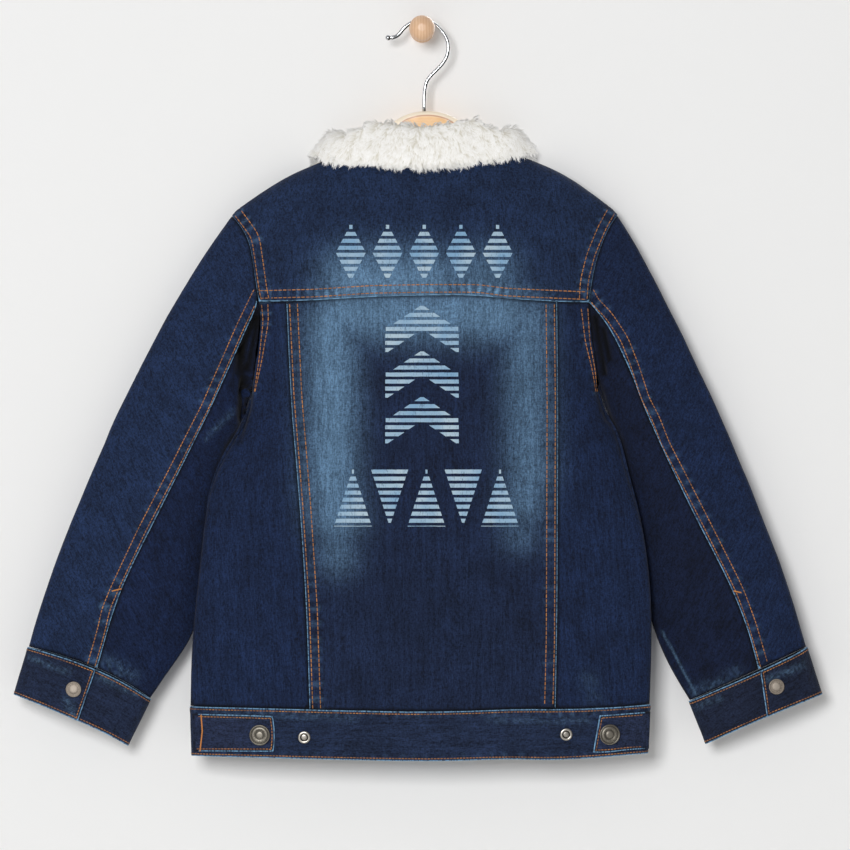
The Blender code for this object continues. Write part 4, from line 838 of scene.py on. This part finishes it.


# fasteners: rings as shares of the radius and of the height, with a share of dark at each:
# antique blacking on the button and painted shade on the snap and stud; beads as their ring's
# radius, number, size and height
ringSides, beadSides = 44, 8
fasteners = {
    "button": {
        "rings": [(0.42, 0.0, 0.5), (0.42, 0.3, 0.5), (0.93, 0.36, 0.4), (0.985, 0.46, 0.1),
                  (1.0, 0.6, 0.0), (0.975, 0.78, 0.0), (0.93, 0.88, 0.05), (0.88, 0.86, 0.4),
                  (0.84, 0.76, 0.6), (0.8, 0.76, 0.6), (0.765, 0.84, 0.3), (0.72, 0.9, 0.1),
                  (0.62, 0.92, 0.2), (0.5, 0.9, 0.4), (0.44, 0.84, 0.65), (0.4, 0.84, 0.65),
                  (0.36, 0.93, 0.3), (0.26, 0.99, 0.0), (0.12, 1.0, 0.1)],
        "beads": (0.575, 14, 0.052, 0.92)},
    "snap": {
        "rings": [(0.58, 0.0, 0.5), (0.62, 0.28, 0.5), (0.91, 0.36, 0.4), (0.94, 0.5, 0.0),
                  (0.94, 0.64, 0.0), (0.91, 0.8, 0.0), (0.87, 0.91, 0.05), (0.83, 0.94, 0.15),
                  (0.79, 0.9, 0.75), (0.75, 0.9, 0.6), (0.7, 0.9, 0.45), (0.5, 0.9, 0.45),
                  (0.47, 0.93, 0.2), (0.3, 0.97, 0.05), (0.12, 0.98, 0.0)],
        "beads": (0.6, 11, 0.07, 0.91)},
    "stud": {
        "rings": [(0.9, 0.0, 0.3), (1.0, 0.4, 0.0), (0.99, 0.66, 0.0), (0.92, 0.92, 0.0),
                  (0.78, 1.0, 0.0), (0.66, 0.94, 0.1), (0.6, 0.72, 1.0), (0.52, 0.66, 1.2),
                  (0.46, 0.7, 0.9), (0.4, 0.76, 0.35), (0.22, 0.8, 0.3), (0.1, 0.82, 0.3)],
        "beads": None},
}


def makeMetal(name, light, dark, roughness, grain):
    def build(material):
        place = addNode(material, "TexCoord", out="Object")
        scratches = noisy(material, place, 1 / (grain * mm), 3.0)
        # the share of dark: antique blacking on the button, painted shade on the snap and stud
        share = maths(material, "MULTIPLY_ADD", scratches, 0.5, painted(material, "tarnishAndShade"))
        share = spread(material, share, 0.15, 1.15)
        return mixed(material, share, light, dark), scratches, 0.04

    return newMaterial(name, {"Roughness": roughness, "Metallic": 1.0}, build)


# stamped zinc alloy plated antique: grey with the recesses blacked
pewter = makeMetal("antique pewter stamped", "#858077", "#35332e", 0.42, 0.8)
# brushed nickel plate: pale warm grey, softly shining, with painted shade in its recesses
nickel = makeMetal("nickel plate brushed", "#9d948a", "#554c44", 0.55, 0.6)
# polished nickel: bright ring round a dish darkened by painted shade
brightNickel = makeMetal("nickel plate polished", "#bdb8b0", "#34312e", 0.3, 0.7)


# a fastener turned on its solid's own axis, foot and radius
def fasten(name, node, kind, material):
    raw = readPoints(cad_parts[node].data)
    raw = np.unique(np.round(raw, 7), axis=0)
    middle = raw.mean(0)
    axis = np.linalg.svd(raw - middle)[2][2]
    if (axis[1] > 0) != node.startswith("front"):
        axis = -axis
    heights = (raw - middle) @ axis
    flat = (raw - middle) - heights[:, None] * axis
    radius = np.linalg.norm(flat, axis=1).max()
    foot, tall = middle + axis * heights.min(), np.ptp(heights)
    shape = fasteners[kind]
    points, faces, tones = [], [], []
    across = np.cross(axis, (0, 0, 1))
    across /= np.linalg.norm(across)
    up = np.cross(axis, across)

    def ring(centre, size, height, tone, sides):
        for k in range(sides):
            angle = 2 * math.pi * k / sides
            points.append(foot + axis * height * tall
                          + across * (centre[0] + math.cos(angle) * size) * radius
                          + up * (centre[1] + math.sin(angle) * size) * radius)
            tones.append(tone)

    def close(start, sides, rows):
        for row in range(rows - 1):
            for k in range(sides):
                a, b = start + row * sides + k, start + row * sides + (k + 1) % sides
                faces.append((a, b, b + sides, a + sides))
        faces.append(tuple(start + (rows - 1) * sides + k for k in range(sides)))
        faces.append(tuple(start + k for k in range(sides - 1, -1, -1)))

    for size, height, tone in shape["rings"]:
        ring((0, 0), size, height, tone, ringSides)
    close(0, ringSides, len(shape["rings"]))
    if shape["beads"]:
        away, number, size, height = shape["beads"]
        for k in range(number):
            angle = 2 * math.pi * (k + 0.5) / number
            centre = (away * math.cos(angle), away * math.sin(angle))
            start = len(points)
            for share, rise in ((1.0, -0.10), (0.85, 0.045), (0.45, 0.085)):
                ring(centre, size * share, height + rise, 0.0, beadSides)
            close(start, beadSides, 3)
    mesh = newMesh(name, points, faces)
    paint(mesh, "tarnishAndShade", tones)
    piece = show(name, mesh, material)
    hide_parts(node)


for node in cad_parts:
    if "button" in node:
        fasten(node + "_pewter", node, "button", pewter)
    elif "snap" in node:
        fasten(node + "_cap", node, "snap", nickel)
    elif "stud" in node:
        fasten(node + "_ring", node, "stud", brightNickel)
print("buttons, snaps and studs made")


# washed-out screen print, horizontal bars: chevrons and diamonds of the maker's own
bars = {"pitch": 6.3, "height": 3.6, "lift": 0.22, "step": 3.0, "wobble": 0.16,
        "pale": "#a9bfce", "blue": "#7ca3c4", "rubbed": "#31486a"}


def diamond(x, z, width, tall):
    def spans(height):
        half = width / 2 * (1 - abs(height - z) / (tall / 2))
        return [(x - half, x + half)] if half > 0.8 else []
    return z + tall / 2, z - tall / 2, spans


def chevron(x, z, width, tall, arm):
    def spans(height):
        high = (height - z + tall / 2) / tall
        outer = width / 2 * (1 - high) / (1 - arm)
        inner = width / 2 * (1 - arm - high) / (1 - arm)
        outer = min(outer, width / 2)
        if outer < 0.8:
            return []
        if inner > 0.4:
            return [(x - outer, x - inner), (x + inner, x + outer)]
        return [(x - outer, x + outer)]
    return z + tall / 2, z - tall / 2, spans


def wedge(x, z, width, tall, turn):
    def spans(height):
        share = 0.5 + turn * (height - z) / tall
        half = width / 2 * (1 - share)
        return [(x - half, x + half)] if half > 0.8 else []
    return z + tall / 2, z - tall / 2, spans


printed = [diamond(x, -203, 27, 52) for x in (-64, -31, 2, 35, 68)]
printed += [chevron(0, z, 66, 44, 0.5) for z in (-272, -313, -354)]
printed += [wedge(x, -423, 34, 52, (-1) ** i) for i, x in enumerate((-62, -29, 4, 37, 70))]
points, faces = [], []
for top, bottom, spans in printed:
    for k in range(int((top - bottom) / bars["pitch"]) + 1):
        high = top - k * bars["pitch"] - 1.0
        low = max(high - bars["height"], bottom)
        upper, lower = spans(high), spans(low)
        if len(upper) != len(lower):
            upper, lower = spans((high + low) / 2), spans((high + low) / 2)
        for (a, b), (c, d) in zip(upper, lower):
            count = max(2, int(max(b - a, d - c) / bars["step"]))
            start = len(points)
            for i in range(count + 1):
                share = i / count
                for x, z in ((a + (b - a) * share, high), (c + (d - c) * share, low)):
                    wobble = bars["wobble"] * noise.noise(Vector((x, z, 0.5)) * 0.9)
                    found = onCloth(x, z + wobble, ["yoke_cloth", "back_panel_cloth"])
                    points.append(found[0] + found[1] * bars["lift"] * mm if found else None)
            for i in range(count):
                quad = (start + 2 * i, start + 2 * i + 1, start + 2 * i + 3, start + 2 * i + 2)
                if all(points[j] is not None for j in quad):
                    faces.append(quad)
used = sorted({i for face in faces for i in face})
order = {old: new for new, old in enumerate(used)}
mesh = newMesh("bar_print", [points[i] for i in used],
               [[order[i] for i in face] for face in faces])


def buildPrint(material):
    place = addNode(material, "TexCoord", out="Object")
    fine = addNode(material, "Mapping", {"Scale": (900, 900, 260)}, {"Vector": place})
    cracks = noisy(material, fine, 1.0, 3.0)
    shade = spread(material, noisy(material, place, 38.0, 2.0), 0.35, 0.65)
    ink = mixed(material, shade, bars["blue"], bars["pale"])
    lost = spread(material, cracks, 0.56, 0.72, 0.0, 0.6)
    return mixed(material, lost, ink, bars["rubbed"]), cracks, 0.1


# water-based ink, screen printed and washed: matt pale blue, broken where the twill rubbed
printInk = newMaterial("water based ink screen printed", {"Roughness": 0.85}, buildPrint)
show("bar_print", mesh, printInk)
print("print", len(faces), "faces")


# long pile of the sherpa, in soft locks lying outwards and down: numbers of strands and locks,
# lengths in mm, how far the tips gather in their lock, and the seed of the chance in them
pile = {"strands": 46000, "locks": 8000, "long": 8.0, "width": 0.74, "gather": 0.42,
        "curl": 8.0, "seed": 11, "lift": 1.5, "sink": 5.0, "leafTop": -122.0,
        # the strands run from the root colour to the tip colour: the darker roots are painted
        # shade between the strands
        "tip": "#ffffff", "root": "#d3cec1"}


def buildFleece(material):
    place = addNode(material, "TexCoord", out="Object")
    share = maths(material, "MULTIPLY_ADD", noisy(material, place, 90.0, 2.0), 0.35, -0.17)
    # painted shade: darker towards the roots and on the backing
    share = maths(material, "ADD", share, painted(material, "depth"), clamp=True)
    return mixed(material, share, pile["root"], pile["tip"]), None, 0


# polyester sherpa, knitted, brushed and tumbled: warm white curled locks, matt and white at the
# tips, with painted shade darkening them towards the roots
fleece = newMaterial("sherpa fleece tumbled", {"Roughness": 0.9, "Sheen Weight": 0.3},
                     buildFleece)
form = roundedForm("sherpa_collar", 2, 60, pile["sink"], pile["leafTop"])
movePoints(form, readPoints(form) + (0, 0, pile["lift"] * mm))
formPoints, formNormals = readPoints(form), readPoints(form, "normal")
form.calc_loop_triangles()
corners = np.zeros(len(form.loop_triangles) * 3, int)
form.loop_triangles.foreach_get("vertices", corners)
corners = corners.reshape(-1, 3)
areas = np.linalg.norm(np.cross(formPoints[corners[:, 1]] - formPoints[corners[:, 0]],
                                formPoints[corners[:, 2]] - formPoints[corners[:, 0]]), axis=1)
dice = np.random.RandomState(pile["seed"])


def scatter(count):
    face = np.searchsorted(np.cumsum(areas) / areas.sum(), dice.rand(count))
    shares = dice.dirichlet((1, 1, 1), count)[:, :, None]
    normals = (formNormals[corners[face]] * shares).sum(1)
    return (formPoints[corners[face]] * shares).sum(1), unit(normals)


roots, normals = scatter(pile["strands"])
lockRoots, lockNormals = scatter(pile["locks"])
lockTree = makeTree(lockRoots, range(len(lockRoots)))
lock = np.array([lockTree.find(root)[1] for root in roots])
swirl = np.array([noise.noise_vector(Vector(root) / (pile["curl"] * mm)) for root in lockRoots])
outward = unit(lockRoots * (1, 1, 0) - np.array([[camera["across"], -40, 0]]) * mm)
lie = outward * 0.35 + np.array([[0, 0, -0.75]]) + swirl * 1.1
lie -= lockNormals * (lie * lockNormals).sum(1)[:, None]
lockWay = unit(lockNormals * 0.5 + unit(lie) * 0.9 + dice.normal(0, 0.12, lie.shape))
# the pile by the nape is rubbed short
shortened = 1 - (0.55 * ease((lockNormals[:, 1] - 0.05) / 0.3)
                 * ease((lockRoots[:, 2] / mm + 125) / 12))
lockLong = pile["long"] * mm * (0.75 + 0.5 * dice.rand(len(lie))) * shortened
lockTips = lockRoots + lockWay * lockLong[:, None]
way = unit(lockWay[lock] + dice.normal(0, 0.2, roots.shape))
long = lockLong[lock] * (0.7 + 0.45 * dice.rand(len(roots)))
tips = roots + way * long[:, None]
tips += (lockTips[lock] - tips) * pile["gather"] * dice.rand(len(roots))[:, None] ** 0.5
rise = normals * long[:, None] * 0.16
side = unit(np.cross(way, normals) + 1e-6)
other = unit(np.cross(side, way))
points = np.zeros((len(roots), 7, 3))
depth = np.zeros((len(roots), 7))
for ring, (share, size) in enumerate(((0.0, 0.8), (0.55, 1.0))):
    middle = roots + (tips - roots) * share + rise * math.sin(math.pi * share)
    for corner in range(3):
        angle = 2 * math.pi * corner / 3
        spoke = side * math.cos(angle) + other * math.sin(angle) * 0.7
        points[:, ring * 3 + corner] = middle + spoke * size * pile["width"] * mm / 2
        depth[:, ring * 3 + corner] = 0.15 + 0.85 * share
points[:, 6] = tips
depth[:, 6] = 1.0
pattern = [(a, a + 3, b + 3, b) for a, b in ((0, 1), (1, 2), (2, 0))]
tipPattern = [(3, 6, 4), (4, 6, 5), (5, 6, 3)]
backMost, leftMost = roots[:, 1] < -0.045, roots[:, 0] < 0.003
parts = {"back": backMost, "left": ~backMost & leftMost, "right": ~backMost & ~leftMost}
backing = show("sherpa_backing", form, fleece)
# the backing is painted in the roots' shade
paint(form, "depth", np.full(len(formPoints), 0.1))
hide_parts("sherpa_collar")
for part, chosen in parts.items():
    strands = np.where(chosen)[0]
    faces = []
    for n in range(len(strands)):
        base = n * 7
        faces += [(base + a, base + b, base + c, base + d) for a, b, c, d in pattern]
        faces += [(base + a, base + b, base + c) for a, b, c in tipPattern]
    mesh = newMesh("sherpa_pile_" + part, points[strands].reshape(-1, 3).tolist(), faces)
    # a deep pile scatters light as one soft surface, so the strands are shaded mostly as the
    # cloth under them; at the nape they turn towards the back and up, where light comes through
    own = readPoints(mesh, "normal")
    nape = ease((roots[strands, 2] / mm + 150) / 30)[:, None] * np.array([0, -0.35, 0.2])
    soft = unit(own * 0.5 + np.repeat(normals[strands] + nape, 7, axis=0))
    mesh.normals_split_custom_set_from_vertices(soft.tolist())
    # painted shade along each strand, darkest at the root
    paint(mesh, "depth", depth[strands].ravel())
    # light filters down between fibres far finer than these, so they cast no shadow
    show("sherpa_pile_" + part, mesh, fleece).visible_shadow = False
    print("sherpa pile", part, len(strands), "strands")


# timber: rings of the year drawn along the piece, pale and lacquered
def makeWood(name, light, dark, ringPitch, squeeze, roughness, bands, grooved=None):
    def build(material):
        place = addNode(material, "TexCoord", out="Object")
        long = addNode(material, "Mapping", {"Scale": tuple(1 / (v * mm) for v in squeeze)},
                       {"Vector": place})
        wander, flecks = noisy(material, long, 0.6, 3.0), noisy(material, long, 5.0, 2.0)
        rings = addNode(material, "TexWave", {"Scale": 1 / ringPitch, "Distortion": 3.0,
                                              "Detail": 2.0, "bands_direction": bands},
                        {"Vector": long}, "Fac")
        share = maths(material, "MULTIPLY_ADD", rings, 0.5, wander)
        share = maths(material, "MULTIPLY_ADD", flecks, 0.5, share)
        wood = mixed(material, spread(material, share, 0.5, 1.25), light, dark)
        if grooved:
            groove, inset = grooved["groove"], painted(material, "inset")
            panel = spread(material, inset, groove, groove + 1.2)
            wood = mixed(material, panel, grooved["rim"], wood)
            away = maths(material, "ABSOLUTE", maths(material, "SUBTRACT", inset, groove))
            line = spread(material, away, 0.3, 0.9, 0.75, 0.0)
            wood = mixed(material, line, wood, grooved["line"])
        return wood, flecks, 0.05

    surface = {"Roughness": roughness, "Coat Weight": 0.25, "Coat Roughness": 0.25}
    return newMaterial(name, surface, build)


# lotus wood, sawn, grooved and lacquered: pale honey with faint lengthwise grain, and a
# darker panel inside the groove
board = {"groove": 3.6, "depth": 0.5, "rim": "#fff0d8", "line": "#b5682c"}
hangerWood = makeWood("lotus wood lacquered", "#f8cf98", "#ecb878", 2.0, (14, 3, 2.2), 0.42,
                      "Z", board)
# beech, turned and sanded: pinkish tan with short flecks
pegWood = makeWood("beech turned", "#e8c4a1", "#d9ae8a", 2.4, (3.5, 16, 9), 0.45, "X")


def buildChrome(material):
    # painted reflection: the side of the wire turned to the right and down is coloured dark, as if
    # a darker room stood there
    facing = addNode(material, "NewGeometry", out="Normal")
    right, up = (addNode(material, "SeparateXYZ", {}, {0: facing}, axis) for axis in "XZ")
    lean = maths(material, "MULTIPLY_ADD", up, -0.5, right)
    return mixed(material, spread(material, lean, 0.1, 0.5), "#c4c6c9", "#3f4144"), None, 0


# steel wire, drawn, bent and chromed: bright with sharp reflections
chrome = newMaterial("steel wire chromed", {"Metallic": 1.0, "Roughness": 0.16}, buildChrome)
# the ball on the wire's tip, its place and radius, and how the wire drifts below the bend and
# its tip rises, in mm
hook = {"tip": (-30.6, -7.6), "ball": 2.5, "stemShift": -1.6, "tipRise": 1.8}
# the hanger's crown grows above this height: rise in mm, spread as a factor
crown = {"top": -95.0, "rise": 1.6, "spread": 1.19}
for name, node, material, level in (("hanger_board", "hanger_body", hangerWood, 3),
                                    ("hook_wire", "hanger_hook", chrome, 1),
                                    ("turned_peg", "wall_peg", pegWood, 2)):
    mesh = roundedForm(node, level, 40)
    if node == "hanger_body":
        # a groove runs round each face, a little in from the edge
        points, normals = readPoints(mesh), readPoints(mesh, "normal")
        rim = np.where(np.abs(normals[:, 1]) < 0.5)[0]
        rimTree = makeTree(points * (1, 0, 1), rim)
        inset = np.array([rimTree.find((x, 0, z))[2] for x, _, z in points]) / mm
        face = np.abs(normals[:, 1]) > 0.5
        depth = board["depth"] * np.exp(-((inset - board["groove"]) / 0.6) ** 2)
        points[:, 1] -= np.sign(normals[:, 1]) * depth * face * mm
        movePoints(mesh, points)
        paint(mesh, "inset", inset * face)
        crownShare = ease((points[:, 2] / mm - crown["top"]) / 12)
        points[:, 2] += crownShare * crown["rise"] * mm
        points[:, 0] *= 1 + (crown["spread"] - 1) * crownShare
        movePoints(mesh, points)
    if node == "hanger_hook":
        points = readPoints(mesh)
        tip = points[np.argsort(points[:, 0])[:12]].mean(0)
        points[:, 0] += hook["stemShift"] * mm * ease((-42 - points[:, 2] / mm) / 26)
        points[:, 2] += hook["tipRise"] * mm * ease((-12 - points[:, 0] / mm) / 14)
        movePoints(mesh, points)
        bm = bmesh.new()
        bm.from_mesh(mesh)
        centre = Vector((hook["tip"][0] * mm, tip[1], hook["tip"][1] * mm))
        bmesh.ops.create_uvsphere(bm, u_segments=20, v_segments=12, radius=hook["ball"] * mm,
                                  matrix=Matrix.Translation(centre))
        bm.to_mesh(mesh)
        bm.free()
        mesh.shade_smooth()
    piece = show(name, mesh, material)
    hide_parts(node)
print("hanger, hook and peg made")

# a matt painted wall close behind the peg, a plain pale floor well below, and soft studio light
studio = {"wall": ("#f1f1f1", "#efefef"), "ground": ("#e6e5e2", "#e1e0dd"), "ambient": 0.29,
          "keyPlace": (-1.05, -5.4, 0.55), "keyPower": 178, "keySize": 1.5,
          "backPlace": (1.2, 3.0, 0.8), "backPower": 52, "backSize": 2.0, "floor": -1.4}


def makePaint(name, colours, roughness, patch, finish=None):
    def build(material):
        share = addNode(material, "TexNoise", {"Scale": patch}, out="Fac")
        return mixed(material, share, *colours), None, 0

    return newMaterial(name, {"Roughness": roughness}, build, finish)


# from behind, the wall isn't seen, so that the front of the jacket shows
def clearBehind(material, shader):
    behind = addNode(material, "NewGeometry", out="Backfacing")
    clear = addNode(material, "BsdfTransparent")
    return addNode(material, "MixShader", {}, {0: behind, 1: shader, 2: clear})


wallPaint = makePaint("plaster painted matt", studio["wall"], 0.9, 3.0, clearBehind)
floorPaint = makePaint("screed painted matt", studio["ground"], 0.8, 2.0)
low, behind = studio["floor"], 0.002
for name, points, paintwork in (
        ("wall_stage", [(-3, behind, low), (3, behind, low), (3, behind, 2), (-3, behind, 2)],
         wallPaint),
        ("floor_stage", [(-3, -7, low), (3, -7, low), (3, 4, low), (-3, 4, low)], floorPaint)):
    stage = bpy.data.objects.new(name, newMesh(name, points, [(0, 1, 2, 3)]))
    stage.data.materials.append(paintwork)
    bpy.context.scene.collection.objects.link(stage)
world = bpy.data.worlds.new("studio")
world.use_nodes = True
world.node_tree.nodes["Background"].inputs[0].default_value = (1, 1, 1, 1)
world.node_tree.nodes["Background"].inputs[1].default_value = studio["ambient"]
bpy.context.scene.world = world
for name in ("key", "back"):
    lamp = bpy.data.lights.new(name, "AREA")
    lamp.energy = studio[name + "Power"]
    lamp.size = studio[name + "Size"]
    light = bpy.data.objects.new(name, lamp)
    light.location = studio[name + "Place"]
    towards = Vector((0, 0, -0.36)) - light.location
    light.rotation_euler = towards.to_track_quat("-Z", "Y").to_euler()
    bpy.context.scene.collection.objects.link(light)
# the light behind passes the wall, and so reaches only what faces the wall
passed = bpy.data.collections.new("passed by the light behind")
passed.objects.link(bpy.data.objects["wall_stage"])
passed.collection_objects[0].light_linking.link_state = "EXCLUDE"
light.light_linking.blocker_collection = passed
